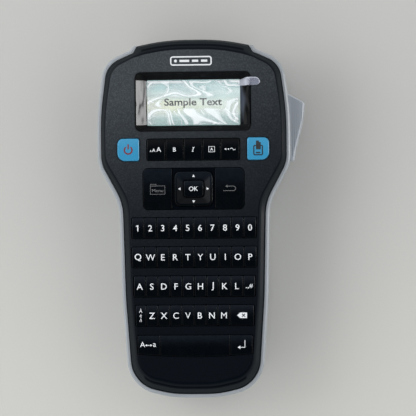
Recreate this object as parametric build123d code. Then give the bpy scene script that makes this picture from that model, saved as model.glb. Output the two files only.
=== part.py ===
"""A hand-held label maker with a letter keyboard, display, tape cassette and side cutter lever.

Millimetres. The origin is on the flat back, at the middle of the body: +X runs to the right of the
keyboard, +Y towards the end where the label comes out, and +Z out of the keyboard's face.
"""
from build123d import *
import math
import os

# ---- Driving dimensions ---------------------------------------------------------------------
FACE_Z = 50.0            # height of the keyboard's face over the flat back
PLATE = 2.2              # thickness of the face
RIM_Z = 46.0             # height of the rear casing's rim
SKIRT_Z = 36.5           # lower edge of the front housing's skirt
BACK_WALL = 2.6          # thickness of the rear casing's back
NOSE_Y = 97.5            # where the front housing's exit nose begins
NOSE_Z = 5.0             # lower edge of the nose
END_Y = 99.9             # end of the rear casing beside the nose
INNER_TOP_Y = 95.4       # inner side of the rear casing's end wall

# Corners of the right half of each outline: x, y and the corner's radius.
OUTLINE = [
    (13.0, -101.0, 55.0), (36.6, -95.4, 18.0), (40.0, -45.0, 200.0), (41.3, 9.5, 30.0),
    (53.5, 32.3, 18.0), (53.5, 60.8, 150.0), (49.8, 89.2, 13.0), (34.4, 96.1, 2.5),
    (32.2, 100.1, 0.9), (16.2, 103.5, 120.0),
]
FACE = [
    (10.0, -93.4, 45.0), (31.6, -88.4, 13.0), (35.4, -45.0, 200.0), (36.8, 11.0, 26.0),
    (50.4, 34.8, 15.0), (50.5, 60.0, 150.0), (46.4, 86.6, 11.0), (34.6, 92.7, 14.0),
    (28.0, 94.4, 30.0), (14.0, 97.0, 90.0),
]
BEVEL = [(45.0, 0.0), (47.6, 0.16), (49.2, 0.5), (49.8, 0.8), (FACE_Z, 1.0)]    # height, share of the way in
REAR_OUTER = [(0.0, -6.0), (2.0, -3.0), (6.0, -0.6), (14.0, 0.8), (34.0, 2.0), (45.0, 2.1), (RIM_Z, 1.2)]
REAR_INNER = [(BACK_WALL, -7.5), (6.0, -3.2), (14.0, -1.3), (34.0, 0.0), (RIM_Z + 1.0, 0.1)]

GRIP_R = 150.0           # radius of the hollow across the handle's back
GRIP_Y = -48.0
GRIP_DEPTH = 6.0

TRAVEL = 1.0             # how far a key goes down
KEY_BASE = 43.5          # underside of the keys
KEY_TOP = 51.0
KEY_GAP = 0.35
FLANGE_TOP = 47.5
FLANGE = 0.5             # how far a key's flange reaches under the face
CROWN_R = 26.0

ROW_Y = [-5.0, -21.8, -38.6, -55.4]
ROW_W = [72.5, 72.6, 70.8, 69.1]
ROW_H = 12.6
Z_ROW = [6.2] + [6.97] * 7 + [14.0]      # key sizes along the fourth row
LOW_ROW = [13.0, 40.1, 12.9]             # and along the lowest row
LOW_Y, LOW_W, LOW_TOP, LOW_BOTTOM = -72.2, 67.2, -66.5, -79.4
LOW_ARC = 314.0          # radius of the bottom row's lower edge
FORMAT_Y, FORMAT_W, FORMAT_H = 40.1, 54.1, 13.0
BLUE_X, BLUE_Y, BLUE_W, BLUE_H = 37.4, 40.2, 12.5, 12.8
NAV_Y, NAV_W, NAV_H = 17.5, 58.9, 24.4
RING_W, RING_H = 21.8, 19.7
OK_W, OK_H = 11.3, 9.3
NAV_FLOOR = 49.2         # height of the shallow panel around the arrow keys
TILT_Z = 44.2            # height of the two axes that the arrow ring tips about
TRUNNION_R = 0.6

WELL_Y, WELL_W, WELL_H = 67.7, 67.0, 34.3
GLASS_Y, GLASS_W, GLASS_H = 67.2, 53.8, 26.2
GLASS_Z = 43.5
GLASS_T = 1.2
BEZEL_TOP = 50.25
FILM_T = 0.15
TAB_Y, TAB_H, TAB_END = 78.6, 5.4, 38.7

JACK_Y, JACK_Z, JACK_R = 61.0, 18.0, 4.2

BOARD_Z, BOARD_T = 38.0, 1.6
MAT_T = 1.0
DOME_TOP = 42.2

HOUSING_SCREWS = [(-45.0, 76.0), (38.5, 60.0), (-46.5, 30.0), (34.0, 29.4), (-22.0, -91.5), (22.0, -91.5)]
BOARD_SCREWS = [(-20.0, -13.4), (20.0, -13.4), (-20.0, -63.8), (20.0, -63.8), (-44.0, 52.0), (44.0, 52.0)]
BOSS_SPLIT = 30.0        # height where a rear boss meets a front boss

DOOR_X, DOOR_Y0, DOOR_Y1, DOOR_T = 40.0, 34.0, 92.0, 2.4
HINGE_R = DOOR_T / 2
PIN_R = 0.7
RUN_FIT = 0.05           # radial clearance of a shaft in its hole
COVER_X, COVER_Y0, COVER_Y1, COVER_T = 30.0, -84.1, -9.0, 2.2
CELL_R, CELL_L, CELL_PITCH, CELL_Z, CELL_COUNT = 5.25, 43.5, 11.2, 15.6, 6
CELL_NIB = 1.0

BAY = (-35.0, 37.0, 17.0, 83.0)      # cassette bay: x0, y0, x1, y1
BAY_WALL = 1.5
DECK_Z, DECK_T = 22.0, 1.6           # plate above the cassette that carries the gears
CASE = (-34.0, 38.0, 16.0, 82.0)     # tape cassette
CASE_Z0, CASE_Z1, CASE_WALL = 3.6, 21.0, 1.2
TAPE_X, TAPE_W, TAPE_T, TAPE_Z = 14.2, 12.0, 0.2, 12.5
ROLL_X, ROLL_Y, ROLL_R = -17.0, 54.8, 14.4
RIBBON = (5.0, 52.0, 6.0)

MODULE = 0.5
GEAR_Z, GEAR_T = 24.0, 2.2
PINION_TEETH, IDLER_TEETH, PLATEN_TEETH, TAKEUP_TEETH = 12, 40, 24, 16
MOTOR = (-8.0, 89.6)
MOTOR_Z0 = 8.0
MOTOR_WALL = 0.7
SHAFT_R = 0.6            # motor shaft
PLATEN = (17.5, 87.8)
MESH_PLAY = 0.12         # added to each pair's centre distance
TAKEUP_TURN = math.radians(262.0)    # direction of the take-up gear from the idler

PIVOT = (46.0, 31.0)
PIVOT_R = 1.5
LEVER_Z0, LEVER_Z1 = 12.0, 36.0
LEVER_GRIP = [
    (50.6, 33.0, 0.6), (57.2, 33.0, 1.2), (58.4, 40.0, 30.0), (60.7, 49.0, 30.0), (62.6, 57.0, 20.0),
    (63.5, 67.0, 1.2), (55.0, 71.6, 1.2), (50.6, 71.6, 0.6),
]
ARM_Z0, ARM_Z1 = 12.5, 17.5
SPRING_Z = 28.5          # the return coil stands in the hub above this height
SPRING_R, SPRING_PITCH, WIRE_R = 2.35, 0.8, 0.27
BLADE_X, BLADE_Y = 19.4, 93.2     # the blade's tip at rest
BLADE_T = 0.5


# ---- Shapes ---------------------------------------------------------------------------------
def both_sides(half):
    """The closed outline of a right half and its mirror image."""
    return half + [(-x, y, r) for x, y, r in reversed(half)]


def unit(x, y):
    length = math.hypot(x, y)
    return x / length, y / length


def grown(corners, grow):
    """The outline moved outwards by grow, with its round corners kept concentric."""
    moved = []
    for i, (x, y, r) in enumerate(corners):
        before = corners[i - 1]
        after = corners[(i + 1) % len(corners)]
        ax, ay = unit(x - before[0], y - before[1])
        bx, by = unit(after[0] - x, after[1] - y)
        k = grow / (1 + ax * bx + ay * by)
        outward = ax * by - ay * bx > 0
        radius = max(r + (grow if outward else -grow), 0.25)
        moved.append((x + k * (ay + by), y - k * (ax + bx), radius))
    return moved


def rounded(corners, z=0.0):
    """A closed wire of straight runs joined by tangent arcs."""
    spans = []
    for i, (x, y, r) in enumerate(corners):
        before = corners[i - 1]
        after = corners[(i + 1) % len(corners)]
        ax, ay = unit(before[0] - x, before[1] - y)
        bx, by = unit(after[0] - x, after[1] - y)
        half_turn = (math.pi - math.acos(max(-1.0, min(1.0, ax * bx + ay * by)))) / 2
        reach = r * math.tan(half_turn)
        cx, cy = unit(ax + bx, ay + by)
        depth = r / math.cos(half_turn) - r
        start = Vector(x + ax * reach, y + ay * reach, z)
        middle = Vector(x + cx * depth, y + cy * depth, z)
        end = Vector(x + bx * reach, y + by * reach, z)
        spans.append((start, middle, end))
    edges = []
    for i, (start, middle, end) in enumerate(spans):
        edges.append(Edge.make_three_point_arc(start, middle, end))
        edges.append(Edge.make_line(end, spans[(i + 1) % len(spans)][0]))
    return Wire(edges)


def slab(corners, z0, z1):
    """A straight-sided block with a rounded outline."""
    return extrude(Face(rounded(corners, z0)), amount=z1 - z0, dir=(0, 0, 1))


def stack(outlines):
    """A solid that runs through outlines, given as pairs of corners and height."""
    return Solid.make_loft([rounded(corners, z) for corners, z in outlines], ruled=True)


def oblong(cx, cy, w, h, r):
    """Corners of a rounded rectangle; r is one radius, or four from the lower left anticlockwise."""
    radii = r if isinstance(r, tuple) else (r, r, r, r)
    points = [(cx - w / 2, cy - h / 2), (cx + w / 2, cy - h / 2), (cx + w / 2, cy + h / 2), (cx - w / 2, cy + h / 2)]
    return [(x, y, radius) for (x, y), radius in zip(points, radii)]


def pad(cx, cy, w, h, r, z0, z1):
    return slab(oblong(cx, cy, w, h, r), z0, z1)


def block(x0, y0, z0, x1, y1, z1):
    return Pos((x0 + x1) / 2, (y0 + y1) / 2, (z0 + z1) / 2) * Box(x1 - x0, y1 - y0, z1 - z0)


def rod(x, y, z0, z1, r):
    return Pos(x, y, (z0 + z1) / 2) * Cylinder(r, z1 - z0)


def bar(x0, x1, y, z, r):
    """A round bar along X."""
    return Pos((x0 + x1) / 2, y, z) * Rot(0, 90, 0) * Cylinder(r, x1 - x0)


def long_bar(x, y0, y1, z, r):
    """A round bar along Y."""
    return Pos(x, (y0 + y1) / 2, z) * Rot(90, 0, 0) * Cylinder(r, y1 - y0)


def between(outer, face, share, play=0.0):
    """An outline part of the way from one outline to another with as many corners."""
    corners = []
    for (x0, y0, r0), (x1, y1, r1) in zip(outer, face):
        corners.append((x0 + (x1 - x0) * share, y0 + (y1 - y0) * share, r0 + (r1 - r0) * share))
    return grown(both_sides(corners), play)


def grip(extra=0.0):
    """The long round hollow across the back of the handle, deeper by extra."""
    return Pos(0, GRIP_Y, GRIP_DEPTH - GRIP_R) * Rot(0, 90, 0) * Cylinder(GRIP_R + extra, 200)


def grip_height(y):
    return GRIP_DEPTH - GRIP_R + math.sqrt(GRIP_R ** 2 - (y - GRIP_Y) ** 2)


# ---- Keys -----------------------------------------------------------------------------------
def crown(cy, top, radius=CROWN_R):
    """The volume under a key top that curves gently along Y."""
    return Pos(0, cy, top - radius) * Rot(0, 90, 0) * Cylinder(radius, 140)


def key(cx, cy, w, h, r, top=KEY_TOP, edge=0.4):
    """A key cap with a crowned, softened top, and a flange that holds it under the face."""
    cap = pad(cx, cy, w, h, r, KEY_BASE, top + 1) & crown(cy, top)
    top_edges = cap.faces().sort_by(Axis.Z)[-1].edges()
    cap = fillet(top_edges, edge)
    reach = h / 2 + KEY_GAP + FLANGE
    flange = block(cx - w / 2 + 0.3, cy - reach, FLANGE_TOP - 1.2, cx + w / 2 - 0.3, cy + reach, FLANGE_TOP)
    return cap + flange


def row_layout(width, sizes):
    """Centres and widths of keys that fill a slot, side by side."""
    usable = width - 2 * KEY_GAP
    scale = usable / sum(sizes)
    x = -usable / 2
    places = []
    for size in sizes:
        places.append((x + size * scale / 2, size * scale - KEY_GAP))
        x += size * scale
    return places


def key_row(width, cy, sizes):
    return [key(x, cy, w, ROW_H - 2 * KEY_GAP, 0.5) for x, w in row_layout(width, sizes)]


def low_row_outline(play):
    """The region of the lowest row, whose lower edge bows down in the middle."""
    top = LOW_TOP - play
    bottom = LOW_BOTTOM + play
    height = top - bottom
    plain = pad(0, (top + bottom) / 2, LOW_W - 2 * play, height, 1.2, KEY_BASE - 6, KEY_TOP + 4)
    return plain & rod(0, bottom + LOW_ARC, KEY_BASE - 7, KEY_TOP + 5, LOW_ARC)


def low_key(cx, w):
    height = LOW_TOP - LOW_BOTTOM
    body = pad(cx, LOW_Y, w, height + 2, 0.5, KEY_BASE, KEY_TOP) & low_row_outline(KEY_GAP)
    cap = body & crown(LOW_Y - 0.5, KEY_TOP, 40)
    cap = fillet(cap.faces().sort_by(Axis.Z)[-1].edges(), 0.35)
    ends = (LOW_TOP + FLANGE, LOW_BOTTOM + 2.4)
    flange = block(cx - w / 2 + 0.3, ends[1], FLANGE_TOP - 1.2, cx + w / 2 - 0.3, ends[0], FLANGE_TOP)
    return cap + flange


def blue_key(side):
    small, middle, large = 1.2, 3.2, 4.4
    radii = (small, large, middle, small) if side > 0 else (large, small, small, middle)
    cap = slab(oblong(side * BLUE_X, BLUE_Y, BLUE_W, BLUE_H, radii), KEY_BASE, KEY_TOP + 1)
    cap = cap & crown(BLUE_Y, KEY_TOP + 0.3, 40)
    cap = fillet(cap.faces().sort_by(Axis.Z)[-1].edges(), 0.6)
    reach = 2 * (KEY_GAP + FLANGE)
    return cap + pad(side * BLUE_X, BLUE_Y, BLUE_W + reach, BLUE_H + reach, 2.0, FLANGE_TOP - 1.2, FLANGE_TOP)


def side_key(side):
    """The menu key or the back key, either side of the arrow keys."""
    inner = RING_W / 2 + 1.5
    outer = NAV_W / 2 - KEY_GAP
    radii = (1.0, 3.0, 3.0, 1.0) if side > 0 else (3.0, 1.0, 1.0, 3.0)
    cx = side * (inner + outer) / 2
    cap = slab(oblong(cx, NAV_Y, outer - inner, NAV_H - 2 * KEY_GAP, radii), KEY_BASE, FACE_Z - 0.1)
    cap = fillet(cap.faces().sort_by(Axis.Z)[-1].edges(), 0.3)
    reach = KEY_GAP + FLANGE
    low, high = sorted((side * (inner + 0.6), side * (outer - 2.5)))
    return cap + block(low, NAV_Y - NAV_H / 2 - FLANGE, FLANGE_TOP - 1.2, high, NAV_Y + NAV_H / 2 + FLANGE, FLANGE_TOP)


def nav_ring():
    """The square dished ring of four arrow keys, which tips in four directions."""
    body = pad(0, NAV_Y, RING_W, RING_H, 3.2, 45.4, 50.4)
    body = fillet(body.faces().sort_by(Axis.Z)[-1].edges(), 0.5)
    dish = stack([
        (oblong(0, NAV_Y, OK_W + 0.9, OK_H + 0.9, 1.7), 49.2),
        (oblong(0, NAV_Y, RING_W - 2.6, RING_H - 2.6, 2.2), 50.41),
    ])
    body = body - dish - pad(0, NAV_Y, OK_W + 0.9, OK_H + 0.9, 1.7, 45, 49.3)
    for side in (-1, 1):
        lug = block(side * 9.1 - 0.6, NAV_Y - 1.2, TILT_Z - 1.1, side * 9.1 + 0.6, NAV_Y + 1.2, 45.6)
        body += lug
    return body - bar(-12, 12, NAV_Y, TILT_Z, TRUNNION_R + RUN_FIT)


def nav_gimbal():
    """The frame between the arrow ring and the front shell, with one pair of trunnions for each."""
    frame = pad(0, NAV_Y, 15.8, 13.8, 1.5, TILT_Z - 0.6, TILT_Z + 0.6)
    frame += bar(-9.6, 9.6, NAV_Y, TILT_Z, TRUNNION_R)
    frame += long_bar(0, NAV_Y - 11.4, NAV_Y + 11.4, TILT_Z, TRUNNION_R)
    return frame - pad(0, NAV_Y, 12.7, 10.7, 1.0, 43, 46)


def ok_key():
    cap = pad(0, NAV_Y, OK_W, OK_H, 1.4, KEY_BASE, 52) & crown(NAV_Y, 50.6, 30)
    return fillet(cap.faces().sort_by(Axis.Z)[-1].edges(), 0.5)


# ---- Housings -------------------------------------------------------------------------------
def front_housing():
    """The dark front shell with its rounded bevel, the nose over the label exit, and all key slots."""
    sections = [(between(OUTLINE, FACE, 0.0, -0.1), SKIRT_Z)]
    sections += [(between(OUTLINE, FACE, share, -0.1), z) for z, share in BEVEL]
    body = stack(sections)
    nose = slab(grown(both_sides(OUTLINE), -0.1), NOSE_Z, SKIRT_Z + 0.2)
    body += nose & block(-40, NOSE_Y, NOSE_Z, 40, 110, SKIRT_Z + 0.2)
    room = block(-60, -110, SKIRT_Z - 1, 60, INNER_TOP_Y, FACE_Z)
    hollow = slab(grown(both_sides(OUTLINE), -2.3), SKIRT_Z - 1, 45.2)
    hollow += slab(grown(both_sides(FACE), 0.8), 45.1, FACE_Z - PLATE)
    body -= hollow & room
    body -= pad(0, WELL_Y, WELL_W, WELL_H, 3.5, 40, 55)
    for side in (-1, 1):
        small, middle, large = 1.5, 3.5, 4.7
        radii = (small, large, middle, small) if side > 0 else (large, small, small, middle)
        size = 2 * KEY_GAP
        body -= slab(oblong(side * BLUE_X, BLUE_Y, BLUE_W + size, BLUE_H + size, radii), 40, 55)
        inner, outer = RING_W / 2 + 1.15, NAV_W / 2
        radii = (1.2, 3.3, 3.3, 1.2) if side > 0 else (3.3, 1.2, 1.2, 3.3)
        hole = oblong(side * (inner + outer) / 2, NAV_Y, outer - inner, NAV_H, radii)
        body -= slab(hole, 40, 55)
    body -= pad(0, FORMAT_Y, FORMAT_W, FORMAT_H, 1.2, 40, 55)
    body -= pad(0, NAV_Y, NAV_W, NAV_H, 3.3, NAV_FLOOR, 55)
    body -= pad(0, NAV_Y, RING_W + 0.9, RING_H + 0.9, 3.6, 40, 55)
    for y, width in zip(ROW_Y, ROW_W):
        body -= pad(0, y, width, ROW_H, 1.2, 40, 55)
    body -= low_row_outline(0)
    for x, y in HOUSING_SCREWS:
        body += rod(x, y, BOSS_SPLIT, FACE_Z - PLATE + 0.1, 2.6)
        body -= rod(x, y, BOSS_SPLIT - 1, BOSS_SPLIT + 10, 1.15)
    for x, y in BOARD_SCREWS:
        body += rod(x, y, BOARD_Z + BOARD_T + MAT_T, FACE_Z - PLATE + 0.1, 1.3)
        body -= rod(x, y, BOARD_Z, BOARD_Z + 7, 0.65)
    for side in (-1, 1):
        y = NAV_Y + side * 10.9
        body += block(-1.6, y - 0.6, TILT_Z - 1.1, 1.6, y + 0.6, FACE_Z - PLATE + 0.2)
    body -= long_bar(0, NAV_Y - 12, NAV_Y + 12, TILT_Z, TRUNNION_R + RUN_FIT)
    return body - exit_slot()


def exit_slot():
    return block(TAPE_X - 1.3, 90, NOSE_Z + 1, TAPE_X + 1.3, 110, NOSE_Z + 15)


def rear_housing():
    """The light casing: a deep tub with a grip hollow, two door openings and the lever's window."""
    full = both_sides(OUTLINE)
    body = stack([(grown(full, grow), z) for z, grow in REAR_OUTER])
    body &= block(-70, -120, -1, 70, END_Y, RIM_Z + 1)
    room = stack([(grown(full, grow), z) for z, grow in REAR_INNER])
    room &= block(-70, -120, 0, 70, INNER_TOP_Y, RIM_Z + 2)
    body -= room - grip(BACK_WALL)
    body -= grip()
    body -= slab(grown(full, 0.1), NOSE_Z - 0.1, RIM_Z + 1) & block(-40, NOSE_Y - 0.1, 0, 40, 120, RIM_Z + 1)
    body -= slab(grown(full, 0.0), SKIRT_Z - 0.05, RIM_Z + 1)
    ledge = slab(grown(full, 0.4), SKIRT_Z - 1.6, SKIRT_Z - 0.1) - slab(grown(full, -2.4), SKIRT_Z - 2, SKIRT_Z)
    body += ledge & block(-70, -120, 0, 70, INNER_TOP_Y + 0.2, RIM_Z)
    for x, y in HOUSING_SCREWS:
        body += rod(x, y, 1.0, BOSS_SPLIT - 0.1, 3.2)
    body -= block(-DOOR_X - 0.3, DOOR_Y0 - 0.4, -1, DOOR_X + 0.3, DOOR_Y1 + 0.3, BACK_WALL + 0.4)
    cover = block(-COVER_X - 0.3, COVER_Y0 - 0.5, -1, COVER_X + 0.3, COVER_Y1 + 0.3, 14)
    body -= cover & grip(BACK_WALL + 0.4)
    for x, y in HOUSING_SCREWS:
        body -= rod(x, y, -1, BOSS_SPLIT, 1.4)
        body -= rod(x, y, -1, BOSS_SPLIT - 8, 2.55)
    body -= block(47.5, 25.5, LEVER_Z0 - 0.5, 70, 75.5, LEVER_Z1 + 0.4)
    body -= exit_slot()
    door_axis = (DOOR_Y0 + HINGE_R, HINGE_R)
    body -= bar(-DOOR_X - 2.2, DOOR_X + 2.2, *door_axis, PIN_R + RUN_FIT)
    body -= bar(-COVER_X - 2.2, COVER_X + 2.2, *cover_axis(), PIN_R + RUN_FIT)
    body += rod(*PIVOT, BACK_WALL - 0.4, LEVER_Z0 - 0.6, 3.2)
    body -= rod(*PIVOT, BACK_WALL, 20, PIVOT_R)
    body -= bar(-60, -46, JACK_Y, JACK_Z, JACK_R)
    return body


def power_jack():
    """The barrel inlet for a mains adapter, in the left wall."""
    sleeve = bar(-54.2, -42.0, JACK_Y, JACK_Z, JACK_R - 0.05)
    sleeve -= bar(-55.0, -44.5, JACK_Y, JACK_Z, 2.9)
    tail = block(-44.0, JACK_Y - 3.6, JACK_Z - 3.6, -39.5, JACK_Y + 3.6, JACK_Z + 4.2)
    return sleeve + tail + bar(-53.0, -43.0, JACK_Y, JACK_Z, 1.0)


# ---- Display --------------------------------------------------------------------------------
def display_bezel():
    """The glossy tub that slopes down from the face to the window."""
    body = pad(0, WELL_Y, WELL_W - 0.2, WELL_H - 0.2, 3.4, GLASS_Z - 0.1, BEZEL_TOP)
    mouth = stack([
        (oblong(0, GLASS_Y, GLASS_W + 0.2, GLASS_H + 0.2, 0.8), GLASS_Z + GLASS_T + 0.1),
        (oblong(0, WELL_Y, WELL_W - 1.6, WELL_H - 1.6, 3.0), BEZEL_TOP + 0.01),
    ])
    return body - mouth - pad(0, GLASS_Y, GLASS_W + 0.2, GLASS_H + 0.2, 0.8, GLASS_Z - 1, GLASS_Z + GLASS_T + 0.2)


def display_window():
    return pad(0, GLASS_Y, GLASS_W, GLASS_H, 0.7, GLASS_Z, GLASS_Z + GLASS_T)


def display_film():
    """The thin protective film on the window, with a pull tab that reaches out over the right edge."""
    low = GLASS_Z + GLASS_T + 0.02
    sheet = pad(0, GLASS_Y, GLASS_W - 0.6, GLASS_H - 0.5, 0.8, low, low + FILM_T)
    path = [(22.0, low), (25.9, low), (33.0, BEZEL_TOP + 0.55), (TAB_END, BEZEL_TOP + 0.3)]
    upper = [(x, z + FILM_T) for x, z in reversed(path)]
    side = Polyline(*[(x, 0, z) for x, z in path + upper], close=True)
    strip = extrude(Face(Wire(side.edges())), amount=TAB_H, dir=(0, 1, 0))
    strip = Pos(0, TAB_Y - TAB_H / 2, 0) * strip
    y0, y1 = TAB_Y - TAB_H / 2, TAB_Y + TAB_H / 2
    glass_end = GLASS_Y + GLASS_H / 2 - 0.3
    outline = [
        (21.0, y0, 0.3), (TAB_END, y0, 2.6), (TAB_END, y1, 2.6), (31.0, y1, 2.0), (27.0, glass_end, 1.0),
        (21.0, glass_end, 0.3),
    ]
    return sheet + (strip & slab(outline, low - 1, BEZEL_TOP + 2))


def display_panel():
    return pad(0, GLASS_Y, 57.0, 29.5, 0.5, 41.0, 43.3)


def display_holder():
    """The tray that holds the liquid crystal panel on the circuit board."""
    body = pad(0, GLASS_Y, 60.0, 32.5, 1.0, BOARD_Z + BOARD_T, 43.3)
    return body - pad(0, GLASS_Y, 57.2, 29.7, 0.6, 40.9, 44)


# ---- Electronics and keyboard mat -----------------------------------------------------------
def board_room():
    """What the circuit board and the mat stay clear of."""
    room = rod(*HOUSING_SCREWS[0], 30, 50, 3.2)
    for x, y in HOUSING_SCREWS[1:]:
        room += rod(x, y, 30, 50, 3.2)
    return room


def main_board():
    board = slab(grown(both_sides(OUTLINE), -5.5), BOARD_Z, BOARD_Z + BOARD_T)
    board &= block(-60, -89, 0, 60, 88, 60)
    board -= board_room()
    for x, y in BOARD_SCREWS:
        board -= rod(x, y, 30, 50, 0.9)
    return board


def dome_places():
    places = []
    for y, width in zip(ROW_Y[:3], ROW_W[:3]):
        places += [(x, y) for x, _ in row_layout(width, [1] * 10)]
    places += [(x, ROW_Y[3]) for x, _ in row_layout(ROW_W[3], Z_ROW)]
    places += [(x, LOW_Y) for x, _ in row_layout(LOW_W, LOW_ROW)]
    places += [(x, FORMAT_Y) for x, _ in row_layout(FORMAT_W, [1] * 5)]
    places += [(-BLUE_X, BLUE_Y), (BLUE_X, BLUE_Y), (-20.5, NAV_Y), (20.5, NAV_Y), (0, NAV_Y)]
    places += [(-9.0, NAV_Y), (9.0, NAV_Y), (0, NAV_Y - 8.0), (0, NAV_Y + 8.0)]
    return places


def keypad_mat():
    """One rubber sheet over the board with a dome under every key."""
    z = BOARD_Z + BOARD_T
    mat = slab(grown(both_sides(OUTLINE), -6.0), z, z + MAT_T) & block(-60, -84, 0, 60, 47.5, 60)
    mat -= board_room()
    domes = [Pos(x, y, (z + 0.5 + DOME_TOP) / 2) * Cone(2.6, 1.7, DOME_TOP - z - 0.5) for x, y in dome_places()]
    for x, y in BOARD_SCREWS:
        mat -= rod(x, y, 30, 50, 1.6)
    return mat.fuse(*domes)


def screw(x, y, seat, length, shank, head):
    """A pan-head screw that points up, with a cross recess."""
    body = rod(x, y, seat, seat + length, shank) + rod(x, y, seat - 1.3, seat, head)
    for turn in (0, 90):
        body -= Pos(x, y, seat - 1.3) * Rot(0, 0, turn) * Box(head * 1.2, 0.5, 1.2)
    return body


# ---- Power ----------------------------------------------------------------------------------
def cell_rows():
    first = (COVER_Y0 + COVER_Y1) / 2 - CELL_PITCH * (CELL_COUNT - 1) / 2
    return [first + CELL_PITCH * i for i in range(CELL_COUNT)]


def battery_tray():
    """The open tray for the cells, with its mouth towards the cover."""
    y0, y1 = cell_rows()[0] - 6.4, cell_rows()[-1] + 6.4
    top = CELL_Z + CELL_R + 0.6
    body = block(-28.0, y0 - 1.4, 4, 28.0, y1 + 1.4, top + 1.4) - block(-26.6, y0, 0, 26.6, y1, top)
    return body - grip(BACK_WALL + 0.5)


def cell(y, turned):
    side = -1 if turned else 1
    body = bar(-CELL_L / 2, CELL_L / 2, y, CELL_Z, CELL_R)
    low, high = sorted((side * CELL_L / 2, side * (CELL_L / 2 + CELL_NIB)))
    return body + bar(low, high, y, CELL_Z, 1.9)


def battery_contacts():
    """A sprung strip at one end of each cell and a flat strip at the other."""
    strips = []
    for i, y in enumerate(cell_rows()):
        side = -1 if i % 2 else 1
        flat = sorted((side * (CELL_L / 2 + CELL_NIB + 0.1), side * 26.5))
        strips.append(block(flat[0], y - 4, CELL_Z - 4, flat[1], y + 4, CELL_Z + 4))
        start, step = CELL_L / 2 + 0.15, 1.05
        coil = [bar(*sorted((-side * (start + step * k), -side * (start + step * k + 0.7))), y, CELL_Z, 3.4 + 0.4 * k)
                for k in range(4)]
        core = bar(*sorted((-side * start, -side * 26.5)), y, CELL_Z, 1.6)
        spring = core
        for turn in coil:
            spring += turn
        strips.append(spring)
    return strips


def cover_axis():
    y = COVER_Y0 + COVER_T / 2
    return y, grip_height(y) + COVER_T / 2


def battery_door():
    """The curved cover of the battery bay, hinged on two pins at its lower end."""
    y, z = cover_axis()
    plate = block(-COVER_X, y, -1, COVER_X, COVER_Y1, 14) & grip(COVER_T)
    plate -= grip()
    plate += bar(-COVER_X, COVER_X, y, z, COVER_T / 2)
    plate += bar(-COVER_X - 2.0, COVER_X + 2.0, y, z, PIN_R)
    tongue_z = grip_height(COVER_Y1 - 2) + COVER_T
    plate += block(-7, COVER_Y1 - 1.4, tongue_z - 0.8, 7, COVER_Y1 - 0.4, tongue_z + 2.4)
    for i in range(4):
        notch_y = COVER_Y1 - 10 - 3.0 * i
        plate -= bar(-9, 9, notch_y, grip_height(notch_y) - 0.35, 0.9)
    return plate


# ---- Cassette bay ---------------------------------------------------------------------------
def cassette_door():
    """The flat lid of the cassette bay, hinged on two pins at its lower end."""
    y = DOOR_Y0 + HINGE_R
    plate = block(-DOOR_X, y, 0, DOOR_X, DOOR_Y1, DOOR_T)
    plate = fillet(plate.edges().filter_by(Axis.Z).group_by(Axis.Y)[-1], 3.0)
    plate += bar(-DOOR_X, DOOR_X, y, HINGE_R, HINGE_R)
    plate += bar(-DOOR_X - 2.0, DOOR_X + 2.0, y, HINGE_R, PIN_R)
    plate += block(-8, DOOR_Y1 - 1.8, DOOR_T - 0.1, 8, DOOR_Y1 - 0.6, DOOR_T + 2.6)
    window = pad(0, 62, 30, 12, 2.0, -1, DOOR_T + 1)
    plate -= window
    for i in range(5):
        plate -= bar(-10, 10, DOOR_Y1 - 5 - 2.4 * i, -0.3, 0.8)
    return plate


def chassis():
    """The mechanism's frame: walls around the cassette, the gear deck and the bearings."""
    x0, y0, x1, y1 = BAY
    walls = block(x0 - BAY_WALL, y0 - BAY_WALL, BACK_WALL + 0.1, x1 + BAY_WALL, y1 + BAY_WALL, DECK_Z)
    walls -= block(x0, y0, 0, x1, y1, DECK_Z + 1)
    walls -= block(TAPE_X - 3.2, y1 - 1, 0, x1 + 3, y1 + 3, DECK_Z - 0.5)
    deck = block(x0 - BAY_WALL, y0 - BAY_WALL, DECK_Z, 24.0, 94.8, DECK_Z + DECK_T)
    body = walls + (deck & slab(grown(both_sides(OUTLINE), -2.6), 0, 40))
    body -= rod(*PLATEN, 0, 40, 1.0 + RUN_FIT)
    body -= rod(*MOTOR, 0, 40, 1.6)
    body -= rod(*takeup_place(), 0, 40, 2.0 + RUN_FIT)
    body += rod(*idler_place(), DECK_Z, GEAR_Z + GEAR_T + 0.8, 1.2)
    return body


def cassette_shell():
    """The tape cassette's case, open around the tape path and with a window over the roll."""
    x0, y0, x1, y1 = CASE
    body = block(x0, y0, CASE_Z0, x1, y1, CASE_Z1)
    body = fillet(body.edges().filter_by(Axis.Z), 2.0)
    body -= block(x0 + CASE_WALL, y0 + CASE_WALL, CASE_Z0 + CASE_WALL, x1 - 0.9, y1 - CASE_WALL, CASE_Z1 - CASE_WALL)
    body -= pad(ROLL_X, ROLL_Y, 14, 10, 2.0, CASE_Z0 - 1, CASE_Z0 + 3)
    body -= rod(*takeup_place(), CASE_Z0 - 1, CASE_Z1 + 1, 2.6)
    body -= block(TAPE_X - 1.2, y1 - 2, CASE_Z0 + 2, TAPE_X + 1.0, y1 + 1, CASE_Z1 - 2)
    return body


def tape_roll():
    """The wound label tape on its core."""
    body = rod(ROLL_X, ROLL_Y, TAPE_Z - TAPE_W / 2, TAPE_Z + TAPE_W / 2, ROLL_R)
    return body - rod(ROLL_X, ROLL_Y, 0, 40, 4.0)


def spool(x, y, r, bore):
    body = rod(x, y, TAPE_Z - TAPE_W / 2, TAPE_Z + TAPE_W / 2, r)
    return body - rod(x, y, 0, 40, bore)


def takeup_spool():
    """The ribbon's take-up reel, on the splined spindle under its gear."""
    x, y = takeup_place()
    return spool(x, y, 5.4, 2.2)


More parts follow.
